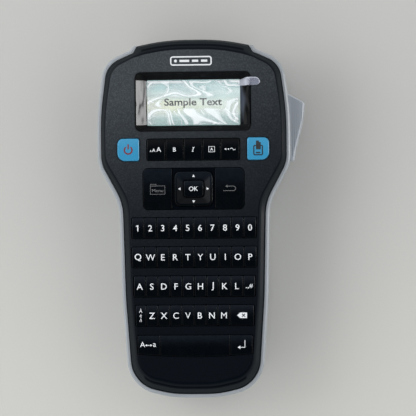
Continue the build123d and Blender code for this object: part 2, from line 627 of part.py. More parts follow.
def label_strip():
    """The loose label from the roll, round the case's corner and up to where the blade cut it last."""
    low = CASE[1] + CASE_WALL + 0.35
    side = TAPE_X
    corner, end = 3.0, BLADE_Y - BLADE_T / 2 - 0.15
    path = Polyline((ROLL_X, low), (side - corner, low)) + Polyline((side, low + corner), (side, end))
    bend = Edge.make_three_point_arc(
        Vector(side - corner, low), Vector(side - corner * (1 - math.sqrt(0.5)), low + corner * (1 - math.sqrt(0.5))),
        Vector(side, low + corner))
    line = Wire(path.edges() + [bend])
    return strip_wall(line)


def strip_wall(line):
    """A thin upright wall along a flat path."""
    half = TAPE_T / 2
    outline = line.offset_2d(half, kind=Kind.ARC, side=Side.BOTH)
    z0 = TAPE_Z - TAPE_W / 2
    return Pos(0, 0, z0) * extrude(Face(outline), amount=TAPE_W, dir=(0, 0, 1))


def print_head():
    """The thermal print head: a thin ceramic plate beside the label."""
    x1 = TAPE_X - TAPE_T / 2 - 0.15
    return block(x1 - 1.0, 85.0, 5.5, x1, 91.4, 19.5)


def head_bracket():
    """The metal plate that carries the print head and takes its heat."""
    x1 = TAPE_X - TAPE_T / 2 - 1.15
    plate = block(x1 - 1.2, 85.0, 5.5, x1, 91.4, 19.5)
    return plate + block(x1 - 7.0, 85.0, 19.5, x1, 91.4, DECK_Z)


def platen_roller():
    """The rubber roller that drives the label past the print head."""
    return rod(*PLATEN, TAPE_Z - 6.6, TAPE_Z + 6.6, 3.05) - rod(*PLATEN, 0, 30, 1.0)


def platen_shaft():
    return rod(*PLATEN, 3.5, GEAR_Z + GEAR_T, 1.0)


# ---- Gears ----------------------------------------------------------------------------------
def gear(centre, teeth, phase, z0, thick):
    """A spur gear with slim straight-sided teeth; phase is the angle of its first tooth."""
    pitch_r = MODULE * teeth / 2
    root_r, tip_r = pitch_r - 1.2 * MODULE, pitch_r + 0.8 * MODULE
    half = math.pi / (2 * teeth)
    points = []
    for i in range(teeth):
        middle = phase + 2 * math.pi * i / teeth
        for r, turn in ((root_r, -1.05), (tip_r, -0.38), (tip_r, 0.38), (root_r, 1.05)):
            angle = middle + turn * half
            points.append((r * math.cos(angle), r * math.sin(angle)))
    outline = Face(Wire(Polyline(*points, close=True).edges()))
    return Pos(centre[0], centre[1], z0) * extrude(outline, amount=thick, dir=(0, 0, 1))


def centre_distance(teeth_a, teeth_b):
    return MODULE * (teeth_a + teeth_b) / 2 + MESH_PLAY


def idler_place():
    """Where the idler meshes with both the motor's pinion and the platen's gear."""
    to_motor = centre_distance(PINION_TEETH, IDLER_TEETH)
    to_platen = centre_distance(PLATEN_TEETH, IDLER_TEETH)
    dx, dy = PLATEN[0] - MOTOR[0], PLATEN[1] - MOTOR[1]
    apart = math.hypot(dx, dy)
    along = (to_motor ** 2 - to_platen ** 2 + apart ** 2) / (2 * apart)
    aside = math.sqrt(to_motor ** 2 - along ** 2)
    ux, uy = dx / apart, dy / apart
    return MOTOR[0] + along * ux + aside * uy, MOTOR[1] + along * uy - aside * ux


def takeup_place():
    x, y = idler_place()
    apart = centre_distance(TAKEUP_TEETH, IDLER_TEETH)
    return x + apart * math.cos(TAKEUP_TURN), y + apart * math.sin(TAKEUP_TURN)


def phase_in_mesh(from_centre, from_phase, from_teeth, to_centre, to_teeth):
    """The phase of a gear whose gap faces the other gear's tooth."""
    turn = math.atan2(to_centre[1] - from_centre[1], to_centre[0] - from_centre[0])
    share = from_teeth * (from_phase - turn) / (2 * math.pi)
    return turn + math.pi - (share + 0.5) * 2 * math.pi / to_teeth


def gear_train():
    idler = idler_place()
    parts = {"idler_gear": gear(idler, IDLER_TEETH, 0.0, GEAR_Z, GEAR_T) - rod(*idler, 20, 30, 1.2 + RUN_FIT)}

    def meshed(place, teeth):
        phase = phase_in_mesh(idler, 0.0, IDLER_TEETH, place, teeth)
        return gear(place, teeth, phase, GEAR_Z, GEAR_T)

    parts["platen_gear"] = meshed(PLATEN, PLATEN_TEETH) - rod(*PLATEN, 20, 30, 1.0)
    parts["motor_pinion"] = meshed(MOTOR, PINION_TEETH) + rod(*MOTOR, DECK_Z + DECK_T + 0.05, GEAR_Z + GEAR_T + 0.5, 0.9)
    spindle = takeup_place()
    parts["takeup_spindle"] = meshed(spindle, TAKEUP_TEETH) + rod(*spindle, 6.0, GEAR_Z + 0.1, 2.0)
    return parts


def motor_shape(inset, z0, z1):
    """The outline of a small flat-sided motor, made smaller by inset, between two heights."""
    x, y = MOTOR
    flat = 4.7 - inset
    return rod(x, y, z0, z1, 5.6 - inset) & block(x - 6, y - flat, z0 - 1, x + 6, y + flat, z1 + 1)


def drive_motor():
    """The motor's can, which hangs from the deck by its collar."""
    can = motor_shape(0, MOTOR_Z0, DECK_Z) - motor_shape(MOTOR_WALL, MOTOR_Z0 + MOTOR_WALL, DECK_Z - MOTOR_WALL)
    can += rod(*MOTOR, DECK_Z - 0.1, DECK_Z + DECK_T, 1.5)
    can += rod(*MOTOR, MOTOR_Z0 - 1.0, MOTOR_Z0 + 0.1, 2.0)
    return can - rod(*MOTOR, MOTOR_Z0, DECK_Z + 5, SHAFT_R + RUN_FIT)


def motor_core():
    """The rotor inside the can, and its shaft up to the pinion."""
    core = rod(*MOTOR, MOTOR_Z0 + 1.6, DECK_Z - 2.2, 3.5)
    return core + rod(*MOTOR, MOTOR_Z0 + 0.2, DECK_Z + DECK_T + 0.05, SHAFT_R)


# ---- Cutter ---------------------------------------------------------------------------------
def cutter_lever():
    """The side lever: a grip outside the casing and an arm inside that reaches the blade."""
    body = slab(LEVER_GRIP, LEVER_Z0, LEVER_Z1)
    body = fillet(body.edges().filter_by(Axis.Z, reverse=True).filter_by(lambda e: e.center().X > 54), 0.7)
    web = [(43.4, 28.6, 1.5), (47.0, 27.6, 1.5), (51.6, 33.2, 1.0), (51.6, 70.0, 1.0), (50.0, 70.0, 0.5), (48.6, 36.0, 2.0)]
    body += slab(web, LEVER_Z0, LEVER_Z1)
    body += rod(*PIVOT, LEVER_Z0, LEVER_Z1, 3.4)
    arm = [(49.0, 60.0, 0.4), (51.4, 60.0, 0.4), (51.4, 69.0, 3.0), (33.2, 94.2, 0.8), (30.2, 94.2, 0.8), (30.2, 91.6, 0.8)]
    body += slab(arm, ARM_Z0, ARM_Z1)
    for i in range(5):
        groove_x = 56.4 + 1.3 * i
        body -= block(groove_x, 36.0 + 5.0 * i, LEVER_Z1 - 0.35, groove_x + 0.45, 69.6 - 0.7 * i, LEVER_Z1 + 1)
    body -= rod(*PIVOT, SPRING_Z, LEVER_Z1 + 1, 3.3)
    return body - rod(*PIVOT, 0, 60, PIVOT_R + RUN_FIT)


def lever_pin():
    return rod(*PIVOT, BACK_WALL, LEVER_Z1 + 0.6, PIVOT_R)


def blade_carriage():
    """The slide that the lever's arm pushes across the label."""
    x0 = BLADE_X + 3.2
    body = block(x0, 91.4, 7.4, x0 + 7.2, 95.0, 18.4)
    return body - block(x0 - 1, BLADE_Y - BLADE_T / 2, 7.0, x0 + 3.6, BLADE_Y + BLADE_T / 2, 20.0)


def cutter_blade():
    """A thin steel blade with a slanted edge."""
    corners = [(BLADE_X, 6.2), (BLADE_X + 6.8, 6.2), (BLADE_X + 6.8, 18.8), (BLADE_X + 1.4, 18.8)]
    side = Polyline(*[(x, BLADE_Y - BLADE_T / 2, z) for x, z in corners], close=True)
    return extrude(Face(Wire(side.edges())), amount=BLADE_T, dir=(0, 1, 0))


def cutter_anvil():
    """The slotted block on the label's other side that the blade shears against."""
    x1 = TAPE_X - 0.4
    body = block(x1 - 5.0, 91.8, 5.4, x1, 95.0, 19.6)
    body -= block(x1 - 3.2, BLADE_Y - 0.45, 4.0, x1 + 1, BLADE_Y + 0.45, 21.0)
    return body + block(x1 - 5.0, 91.8, 19.5, x1 - 3.3, 95.0, DECK_Z)


def return_spring():
    """The coil around the lever's pin that swings it back out."""
    height = LEVER_Z1 - SPRING_Z - 1.2
    path = Helix(pitch=SPRING_PITCH, height=height, radius=SPRING_R)
    wire = sweep(Plane(path @ 0, z_dir=path % 0) * Circle(WIRE_R), path, is_frenet=True)
    return Pos(*PIVOT, SPRING_Z + 0.5) * wire


# ---- Parts ----------------------------------------------------------------------------------
def format_keys():
    names = ["text_size_key", "bold_key", "italic_key", "frame_key", "symbol_key"]
    places = row_layout(FORMAT_W, [1] * 5)
    return {name: key(x, FORMAT_Y, w, FORMAT_H - 2 * KEY_GAP, 0.5) for name, (x, w) in zip(names, places)}


def letter_keys():
    rows = ["number_keys", "top_letter_keys", "middle_letter_keys"]
    parts = {name: key_row(width, y, [1] * 10) for name, y, width in zip(rows, ROW_Y, ROW_W)}
    last = key_row(ROW_W[3], ROW_Y[3], Z_ROW)
    parts["accent_key"] = last[0]
    parts["bottom_letter_keys"] = last[1:-1]
    parts["backspace_key"] = last[-1]
    low = [low_key(x, w) for x, w in row_layout(LOW_W, LOW_ROW)]
    parts["caps_key"], parts["space_bar"], parts["enter_key"] = low
    return parts


def all_parts():
    parts = {
        "front_housing": front_housing(),
        "rear_housing": rear_housing(),
        "display_bezel": display_bezel(),
        "display_window": display_window(),
        "display_film": display_film(),
        "display_panel": display_panel(),
        "display_holder": display_holder(),
        "main_board": main_board(),
        "keypad_mat": keypad_mat(),
        "power_key": blue_key(-1),
        "print_key": blue_key(1),
        "menu_key": side_key(-1),
        "back_key": side_key(1),
        "nav_ring": nav_ring(),
        "nav_gimbal": nav_gimbal(),
        "ok_key": ok_key(),
        "housing_screws": [screw(x, y, BOSS_SPLIT - 8.01, 14.5, 1.1, 2.3) for x, y in HOUSING_SCREWS],
        "board_screws": [screw(x, y, BOARD_Z - 0.05, 5.5, 0.6, 1.5) for x, y in BOARD_SCREWS],
        "battery_tray": battery_tray(),
        "aaa_cells": [cell(y, i % 2 == 1) for i, y in enumerate(cell_rows())],
        "battery_contacts": battery_contacts(),
        "battery_door": battery_door(),
        "power_jack": power_jack(),
        "cassette_door": cassette_door(),
        "chassis": chassis(),
        "cassette_shell": cassette_shell(),
        "tape_roll": tape_roll(),
        "ribbon_spool": spool(*RIBBON, 2.2),
        "takeup_spool": takeup_spool(),
        "label_strip": label_strip(),
        "print_head": print_head(),
        "head_bracket": head_bracket(),
        "platen_roller": platen_roller(),
        "platen_shaft": platen_shaft(),
        "drive_motor": drive_motor(),
        "motor_core": motor_core(),
        "cutter_lever": cutter_lever(),
        "lever_pin": lever_pin(),
        "return_spring": return_spring(),
        "blade_carriage": blade_carriage(),
        "cutter_blade": cutter_blade(),
        "cutter_anvil": cutter_anvil(),
    }
    parts.update(format_keys())
    parts.update(letter_keys())
    parts.update(gear_train())
    return parts


def write(parts):
    os.makedirs("parts", exist_ok=True)
    for name, shape in parts.items():
        solids = shape if isinstance(shape, list) else [shape]
        whole = Compound([solid for item in solids for solid in item.solids()])
        export_step(whole, f"parts/{name}.step")


write(all_parts())
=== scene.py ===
"""Looks of a hand-held label maker: finishes, key legends, display, film and studio.

Every size is in metres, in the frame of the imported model: +X right, +Y to the label exit, +Z up.
"""
import math

import bpy
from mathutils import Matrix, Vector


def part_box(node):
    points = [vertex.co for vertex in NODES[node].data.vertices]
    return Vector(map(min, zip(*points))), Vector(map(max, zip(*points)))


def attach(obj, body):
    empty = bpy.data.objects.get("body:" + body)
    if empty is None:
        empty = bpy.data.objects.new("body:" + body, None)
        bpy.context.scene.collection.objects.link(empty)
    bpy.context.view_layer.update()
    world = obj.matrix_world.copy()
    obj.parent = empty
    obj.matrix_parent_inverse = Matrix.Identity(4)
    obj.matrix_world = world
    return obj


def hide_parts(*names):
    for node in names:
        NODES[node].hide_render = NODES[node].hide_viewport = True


bl_info = {
    "name": "Label Maker",
    "version": (1, 0, 0),
    "blender": (4, 5, 0),
    "location": "View3D > Sidebar > Label Maker",
    "description": "Finishes, legends, display and studio for a hand-held label maker",
    "category": "Object",
}

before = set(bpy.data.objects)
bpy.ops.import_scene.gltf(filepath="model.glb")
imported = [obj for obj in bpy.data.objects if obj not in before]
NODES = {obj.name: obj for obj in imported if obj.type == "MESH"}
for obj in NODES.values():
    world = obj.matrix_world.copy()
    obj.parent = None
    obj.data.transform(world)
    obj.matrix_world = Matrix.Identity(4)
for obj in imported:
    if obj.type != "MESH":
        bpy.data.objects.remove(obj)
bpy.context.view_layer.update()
MM = 0.001
BODY = "housing"

KEY_ROWS = {
    "number_keys": list("1234567890"),
    "top_letter_keys": list("QWERTYUIOP"),
    "middle_letter_keys": list("ASDFGHJKL") + ["points"],
    "bottom_letter_keys": list("ZXCVBNM"),
}
FORMAT_KEYS = ["text_size_key", "bold_key", "italic_key", "frame_key", "symbol_key"]
EDIT_KEYS = ["accent_key", "backspace_key", "caps_key", "space_bar", "enter_key"]
BLACK_KEYS = [*FORMAT_KEYS, "menu_key", "back_key", "nav_ring", "ok_key", *EDIT_KEYS, *KEY_ROWS]
SHARP = "MVWY"               # letters whose narrow corners close up when thickened
KEY_SPACE = 0.35 * MM        # gap between neighbouring keys
INK_LIFT = 0.012 * MM        # how far ink stands off its surface
INK_DEPTH = 0.03 * MM
STRIP = 0.45 * MM            # ink is cut into strips this high, so that it bends over a key's crown
CAPITAL_SHARE = 0.729        # a capital's height as a share of the type size
TAB_HALF = 2.7 * MM          # half the width of the film's pull tab
CELLS = 6
CELL_HALF = 21.75 * MM       # half a cell's length without its button
TURN = 0.35 * MM             # from one visible turn of wound tape to the next
ABOVE = 0.07                 # height from which ink is dropped onto its surface
FACE_LOW, FACE_HIGH = 49.85 * MM, 49.97 * MM     # the front shell's flat face lies between these heights
PLAIN_BLACK = (0.0012, 0.0015, 0.0020)
ROLLED_EDGE = (0.0110, 0.0140, 0.0165)           # the front shell's smooth edge
LINT = (0.25, 0.26, 0.28)


def middle(node):
    """The middle of a node's box."""
    low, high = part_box(node)
    return (low + high) / 2


# ---- Material maths ---------------------------------------------------------------------------
class Wire:
    """An output in a material's node tree that takes part in arithmetic."""

    def __init__(self, recipe, socket):
        self.recipe = recipe
        self.socket = socket

    def maths(self, operation, first, second=0.5):
        made = self.recipe.add("ShaderNodeMath", {"operation": operation}, {0: first, 1: second})
        return made["Value"]

    def __add__(self, other):
        return self.maths("ADD", self, other)

    def __radd__(self, other):
        return self.maths("ADD", other, self)

    def __sub__(self, other):
        return self.maths("SUBTRACT", self, other)

    def __rsub__(self, other):
        return self.maths("SUBTRACT", other, self)

    def __mul__(self, other):
        return self.maths("MULTIPLY", self, other)

    def __rmul__(self, other):
        return self.maths("MULTIPLY", other, self)

    def __truediv__(self, other):
        return self.maths("DIVIDE", self, other)

    def __rtruediv__(self, other):
        return self.maths("DIVIDE", other, self)

    def __pow__(self, other):
        return self.maths("POWER", self, other)

    def __rpow__(self, other):
        return self.maths("POWER", other, self)

    def absolute(self):
        return self.maths("ABSOLUTE", self)

    def clamped(self):
        return self.recipe.add("ShaderNodeClamp", {}, {"Value": self})["Result"]

    def rise(self, low, high):
        """0 below low, 1 above high, smooth between."""
        made = self.recipe.add(
            "ShaderNodeMapRange",
            {"interpolation_type": "SMOOTHSTEP"},
            {"Value": self, "From Min": low, "From Max": high},
        )
        return made["Result"]


class Recipe:
    """A material, or a world, put together node by node around its shader."""

    def __init__(self, name, world=None):
        self.material = world or bpy.data.materials.new(name)
        self.material.use_nodes = True
        self.tree = self.material.node_tree
        self.shader = self.tree.nodes["Background" if world else "Principled BSDF"]

    def add(self, kind, settings, values):
        """Makes a node, sets it up, fills or links its inputs and returns its outputs by name."""
        node = self.tree.nodes.new(kind)
        for name, value in settings.items():
            if name == "stops":
                self.fill_ramp(node.color_ramp, value)
            else:
                setattr(node, name, value)
        for key, value in values.items():
            self.plug(node.inputs[key], value)
        return {output.name: Wire(self, output) for output in node.outputs if output.enabled}

    def plug(self, socket, value):
        if isinstance(value, Wire):
            self.tree.links.new(value.socket, socket)
        else:
            socket.default_value = value

    def fill_ramp(self, ramp, stops):
        while len(ramp.elements) > 1:
            ramp.elements.remove(ramp.elements[-1])
        ramp.elements[0].position = stops[0][0]
        ramp.elements[0].color = (*stops[0][1], 1)
        for place, colour in stops[1:]:
            ramp.elements.new(place).color = (*colour, 1)

    def set(self, **values):
        """Fills or links the shader's own inputs; an underscore stands for a space."""
        for name, value in values.items():
            if isinstance(value, tuple) and len(value) == 3:
                value = (*value, 1)
            self.plug(self.shader.inputs[name.replace("_", " ")], value)
        return self

    def place(self):
        """The surface point in the object's own frame."""
        return self.add("ShaderNodeTexCoord", {}, {})["Object"]

    def axes(self):
        split = self.add("ShaderNodeSeparateXYZ", {}, {0: self.place()})
        return split["X"], split["Y"], split["Z"]

    def stretched(self, x, y, z):
        """Object coordinates scaled apart along each axis."""
        return self.add("ShaderNodeMapping", {}, {"Vector": self.place(), "Scale": (x, y, z)})["Vector"]

    def noise(self, size, detail=2.0, vector=None, roughness=0.5, distortion=0.0):
        """Soft noise with spots about size metres across."""
        values = {
            "Vector": vector or self.place(),
            "Scale": 1 / size,
            "Detail": detail,
            "Roughness": roughness,
            "Distortion": distortion,
        }
        made = self.add("ShaderNodeTexNoise", {}, values)
        return made.get("Fac") or made["Factor"]

    def blend(self, share, first, second):
        """A colour part of the way from one to another."""
        ends = [colour if isinstance(colour, Wire) else (*colour, 1) for colour in (first, second)]
        return self.add("ShaderNodeMix", {"data_type": "RGBA"}, {0: share, 6: ends[0], 7: ends[1]})["Result"]

    def bump(self, height, depth, strength=1.0):
        made = self.add("ShaderNodeBump", {}, {"Height": height, "Distance": depth, "Strength": strength})
        return made["Normal"]


def shade(colour, factor):
    """The same colour, darker or lighter."""
    return tuple(min(1.0, channel * factor) for channel in colour)


# ---- Finishes ---------------------------------------------------------------------------------
def moulded(name, colour, roughness, grain=0.4 * MM, depth=0.004 * MM):
    """Moulded plastic: fine grain, faint flow marks and handling marks in its gloss."""
    made = Recipe(name)
    flow = made.noise(18 * MM, 3.0)
    spots = made.noise(5 * MM, 4.0, roughness=0.65)
    grains = made.noise(grain, 2.0)
    tint = made.blend(flow, shade(colour, 0.92), shade(colour, 1.08))
    gloss = roughness + (spots - 0.5) * 0.1 + (grains - 0.5) * 0.06
    return made.set(Base_Color=tint, Roughness=gloss, Normal=made.bump(grains, depth))


def front_shell_finish(colour, lit):
    """Charcoal shell: a spark-eroded face, a smoother rolled edge, painted light that makes the face lighter
    towards the display end and the left, painted glints on its grain there, and fine dust in the grain that
    shows only where that painted light falls.
    """
    made = Recipe("front_shell")
    across, along, height = made.axes()
    face = height.rise(FACE_LOW, FACE_HIGH)
    coarse = made.noise(0.75 * MM, 3.0, roughness=0.7)
    fine = made.noise(0.22 * MM, 1.0)
    flow = made.noise(25 * MM, 3.0)
    dust = made.noise(1.1 * MM, 5.0, roughness=0.75).rise(0.66, 0.78)
    sunken = height.rise(48.6 * MM, 48.9 * MM) * (1 - height.rise(49.3 * MM, 49.5 * MM))
    panel = sunken * beside(made, "nav_ring", 29 * MM)
    # Painted light: the face is painted lighter towards the display end and towards the left, as if lit from
    # there.
    climb = (along + 90 * MM) / (170 * MM)
    head = (climb.clamped() ** 3.2 * (0.92 - across * 7.0)).clamped()
    roll = (1 - height.rise(49.2 * MM, 49.95 * MM)) * height.rise(41 * MM, 45 * MM)
    plate = made.blend(flow, shade(colour, 0.9), shade(colour, 1.1))
    # The face gets its painted light, then painted glints on the grain where that light falls, then fine dust
    # that shows only there as well.
    painted_head_light = made.blend(head * face, plate, lit)
    painted_grain_glints = made.blend(coarse.rise(0.40, 0.75) * face * head * 0.7, painted_head_light, shade(lit, 2.2))
    dust_and_sheen = made.blend(dust * face * head * 0.05, painted_grain_glints, (0.30, 0.31, 0.32))
    rolled = made.blend(roll, dust_and_sheen, ROLLED_EDGE)
    dark = made.blend(panel, rolled, shade(colour, 0.8))
    gloss = 0.34 + face * 0.22 + (flow - 0.5) * 0.06 + (fine - 0.5) * 0.05
    relief = made.bump(coarse * face + fine * 0.25, 0.03 * MM, 0.8)
    return made.set(Base_Color=dark, Roughness=gloss, Normal=relief, Specular_IOR_Level=0.06)


def beside(made, node, reach):
    """1 within reach of a node's middle across the width, 0 a millimetre further out."""
    return 1 - (made.axes()[0] - middle(node).x).absolute().rise(reach, reach + 1 * MM)


def rear_shell_finish(name, colour):
    """Light satin plastic of the casing and the lever."""
    made = moulded(name, colour, 0.42, 0.5 * MM, 0.006 * MM)
    return made.set(Specular_IOR_Level=0.45)


def key_finish(node, colour, glow):
    """Soft-touch black keys: a painted bluish sheen on the upper half of the row, patchy tone and a little
    lint.
    """
    made = Recipe("black_" + node)
    low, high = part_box(node)
    up = ((made.axes()[1] - low.y) / (high.y - low.y)).rise(0.35, 1.0)
    tone_and_sheen = made.noise(3.5 * MM, 3.0)
    grains = made.noise(0.3 * MM, 2.0)
    lint = made.noise(0.8 * MM, 6.0, roughness=0.8).rise(0.70, 0.80)
    tint = made.blend(tone_and_sheen, shade(colour, 0.8), shade(colour, 1.25))
    # Painted sheen: the upper half of each row is painted a lighter bluish black, as if its crown caught the
    # light.
    satin = made.blend(up * (0.6 + tone_and_sheen * 0.5) * glow, tint, (0.0052, 0.0080, 0.0125))
    dust_and_sheen = made.blend(lint * 0.05, satin, LINT)
    gloss = 0.27 + (tone_and_sheen - 0.5) * 0.12 + (grains - 0.5) * 0.06
    relief = made.bump(grains, 0.006 * MM)
    return made.set(Base_Color=dust_and_sheen, Roughness=gloss, Normal=relief, Specular_IOR_Level=0.09)


def blue_finish(colour):
    """Satin blue plastic under a thin lacquer."""
    made = moulded("key_blue", colour, 0.38, 0.35 * MM, 0.004 * MM)
    return made.set(Coat_Weight=0.15, Coat_Roughness=0.3)


def bezel_finish():
    """Polished black tub: soft waves, faint wiping marks, matt end walls and a painted blue gleam on the
    right.
    """
    made = Recipe("bezel_gloss")
    wipes = made.noise(7 * MM, 2.0, vector=made.stretched(1.6, 0.35, 0.6), distortion=0.8)
    ripple = made.noise(11 * MM, 1.0, vector=made.stretched(1.8, 0.7, 1.0))
    low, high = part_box("display_window")
    across, along, height = made.axes()
    half = (high.y - low.y) / 2
    ends = (along - (low.y + high.y) / 2).absolute().rise(half - 0.3 * MM, half)
    gloss = 0.10 + wipes.rise(0.35, 0.7) * 0.15 + ends * 0.7
    # Painted reflection: a bluish gleam painted into the waves on the right side of the tub.
    right = across.rise(high.x - 0.5 * MM, high.x) * (1 - ends) * (1 - height.rise(49 * MM, 49.5 * MM))
    wall = made.blend(right * ripple.rise(0.42, 0.6), PLAIN_BLACK, (0.045, 0.055, 0.075))
    relief = made.bump(ripple, 0.9 * MM)
    return made.set(Base_Color=wall, Roughness=gloss, Normal=relief, Specular_IOR_Level=0.12)


def window_finish():
    """Clear acrylic with a faint smear."""
    made = Recipe("window_clear")
    smear = made.noise(12 * MM, 4.0, vector=made.stretched(0.5, 1.6, 1.0))
    return made.set(Base_Color=(0.86, 0.92, 0.93), Roughness=0.06 + smear * 0.05, Alpha=0.02 + smear * 0.02)


def crystal_finish():
    """The reflective liquid crystal layer: pale green grey in soft level bands, a painted yellowish patch of
    light to the left, and a faint painted glow all over.
    """
    made = Recipe("lcd")
    low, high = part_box("display_window")
    across, along, _ = made.axes()
    up = (along - low.y) / (high.y - low.y)
    right = (across - low.x) / (high.x - low.x)
    sway = made.noise(16 * MM, 2.0, vector=made.stretched(0.35, 1.0, 1.0))
    stops = [
        (0.0, (0.27, 0.45, 0.43)), (0.16, (0.34, 0.51, 0.49)), (0.24, (0.60, 0.72, 0.68)),
        (0.40, (0.60, 0.68, 0.58)), (0.52, (0.66, 0.74, 0.66)), (0.64, (0.50, 0.62, 0.58)),
        (0.80, (0.42, 0.60, 0.60)), (1.0, (0.40, 0.60, 0.61)),
    ]
    base = made.add("ShaderNodeValToRGB", {"stops": stops}, {"Fac": up + (sway - 0.5) * 0.28})["Color"]
    # Painted light: a sunny yellowish patch to the left.
    painted_warm_light = (1 - right.rise(0.1, 0.75)) * up.rise(0.2, 0.4) * (1 - up.rise(0.45, 0.7)) * 0.8
    sunny = made.blend(painted_warm_light, base, (0.70, 0.72, 0.54))
    streaks = made.noise(3 * MM, 2.0, vector=made.stretched(0.07, 1.0, 1.0)).rise(0.48, 0.75)
    pale = made.blend(streaks * 0.5, sunny, (0.70, 0.79, 0.77))
    shaded = made.blend(right.rise(0.6, 1.0) * 0.25, pale, (0.74, 0.82, 0.82))
    # Painted light: the layer glows a little though nothing lights it from behind.
    return made.set(Base_Color=shaded, Roughness=0.4, Emission_Color=shaded, Emission_Strength=0.36)


def box_mask(made, centre, half_width, half_height):
    """1 inside a rectangle around a point, fading to 0 outside it."""
    across, along, _ = made.axes()
    sides = 1 - (across - centre.x).absolute().rise(half_width * 0.9, half_width * 1.1)
    return sides * (1 - (along - centre.y).absolute().rise(half_height * 0.8, half_height * 1.2))


def film_finish():
    """Thin clear film that clings in patches, each with a pale double line along its edge that glows a little
    as painted light; the pull tab carries a painted glare on its rim and neck.
    """
    made = Recipe("film_clear")
    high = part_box("display_window")[1]
    across, along, _ = made.axes()
    patches = made.noise(21 * MM, 0.5, vector=made.stretched(0.8, 1.1, 0.0), distortion=0.6)
    others = made.noise(15 * MM, 0.3, vector=made.stretched(0.9, 1.4, 0.0), distortion=0.35)
    soft = made.noise(5 * MM, 2.0)
    fine_line = 1 - (patches - 0.5).absolute().rise(0.004, 0.014)
    pair = 1 - ((patches - 0.5).absolute() - 0.036).absolute().rise(0.008, 0.026)
    thin = 1 - (others - 0.46).absolute().rise(0.008, 0.028)
    haze = patches.rise(0.50, 0.53) * (1 - patches.rise(0.56, 0.66)) * 0.24 + others.rise(0.46, 0.56) * 0.10
    words = box_mask(made, middle("display_window"), 19 * MM, 3.6 * MM)
    haze = haze * (1 - words * 0.75)
    lines = (pair * 0.62 + fine_line * 0.15 + thin * 0.45 * soft.rise(0.40, 0.52)) * (1 - words * 0.9)
    edge = made.noise(14 * MM, 0.5, vector=made.stretched(1.0, 0.1, 0.0)).rise(0.46, 0.60)
    top = along.rise(high.y - 2.4 * MM, high.y - 0.8 * MM) * edge * 0.9
    tab = across.rise(high.x - 1.0 * MM, high.x + 0.5 * MM)
    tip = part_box("display_film")[1]
    over = across.maths("MAXIMUM", across - (tip.x - TAB_HALF), 0.0)
    tab_y = tip.y - TAB_HALF
    reach = (over ** 2.0 + (along - tab_y).absolute() ** 2.0) ** 0.5
    rim = reach.rise(TAB_HALF - 0.75 * MM, TAB_HALF - 0.35 * MM)
    bend = made.noise(6 * MM, 1.0, vector=made.stretched(1.6, 0.5, 1.0)).rise(0.35, 0.65)
    neck = 1 - across.rise(high.x + 3.5 * MM, high.x + 6.0 * MM)
    cover = (lines + haze + top) * (1 - tab) + tab * (0.22 + bend * 0.25 + rim * 0.4 + neck * 0.3) + 0.02
    # Painted reflection: the tab's rim and neck are painted a lighter glare.
    glare = made.blend((rim * 0.45 + neck * 0.6).clamped(), (0.30, 0.32, 0.40), (0.62, 0.65, 0.72))
    tint = made.blend(tab, (0.90, 0.95, 0.96), glare)
    wrinkle = made.noise(6 * MM, 2.0)
    # Painted light: the edge lines glow a little.
    glow = made.blend((lines * (1 - tab)).clamped(), (0.0, 0.0, 0.0), (1.0, 1.0, 0.98))
    made.set(Emission_Color=glow, Emission_Strength=0.15, Normal=made.bump(wrinkle, 0.5 * MM, 0.6))
    return made.set(Base_Color=tint, Roughness=0.22, Alpha=cover.clamped(), Specular_IOR_Level=0.6)


def ink(name, colour):
    """Printed ink with slightly uneven cover."""
    made = Recipe(name)
    cover = made.noise(0.25 * MM, 3.0)
    tint = made.blend(cover, shade(colour, 0.86), shade(colour, 1.04))
    return made.set(Base_Color=tint, Roughness=0.5 + (cover - 0.5) * 0.1)


def brushed(name, colour, roughness=0.32):
    """Drawn or rolled metal with fine lines in its gloss."""
    made = Recipe(name)
    lines = made.noise(0.5 * MM, 3.0, vector=made.stretched(1.0, 1.0, 0.08))
    spots = made.noise(6 * MM, 4.0)
    tint = made.blend(spots, shade(colour, 0.82), shade(colour, 1.05))
    gloss = roughness + (lines - 0.5) * 0.18 + (spots - 0.5) * 0.1
    return made.set(Base_Color=tint, Metallic=1.0, Roughness=gloss, Normal=made.bump(lines, 0.004 * MM))


def board_finish():
    """Green solder mask with copper tracks under it."""
    made = Recipe("board_green")
    tracks = made.add("ShaderNodeTexBrick", {"offset": 0.3}, {
        "Vector": made.place(), "Scale": 160.0, "Mortar Size": 0.03,
        "Color1": (1, 1, 1, 1), "Color2": (0.7, 0.7, 0.7, 1), "Mortar": (0, 0, 0, 1)})["Fac"]
    tint = made.blend(tracks, (0.010, 0.075, 0.030), (0.020, 0.150, 0.060))
    return made.set(Base_Color=tint, Roughness=0.35, Coat_Weight=0.4, Coat_Roughness=0.15)


def cell_finish():
    """Dry cell: a dark wrap with a copper-coloured band at the button end, bare metal at both ends."""
    made = Recipe("cell_wrap")
    across, along, _ = made.axes()
    bare = across.absolute().rise(CELL_HALF - 0.9 * MM, CELL_HALF - 0.7 * MM)
    low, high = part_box("aaa_cells")
    row = (along - low.y) / ((high.y - low.y) / CELLS)
    turned = row.maths("MODULO", row, 2.0).rise(0.999, 1.001)
    facing = across * (1 - 2 * turned)
    band = facing.rise(CELL_HALF - 12.2 * MM, CELL_HALF - 11.9 * MM)
    scuffs = made.noise(3 * MM, 5.0).rise(0.6, 0.8)
    wrap = made.blend(band, (0.012, 0.014, 0.018), (0.55, 0.24, 0.07))
    metal = made.blend(bare, wrap, (0.62, 0.61, 0.58))
    return made.set(Base_Color=metal, Metallic=bare + band * 0.6 * (1 - bare), Roughness=0.22 + scuffs * 0.25)


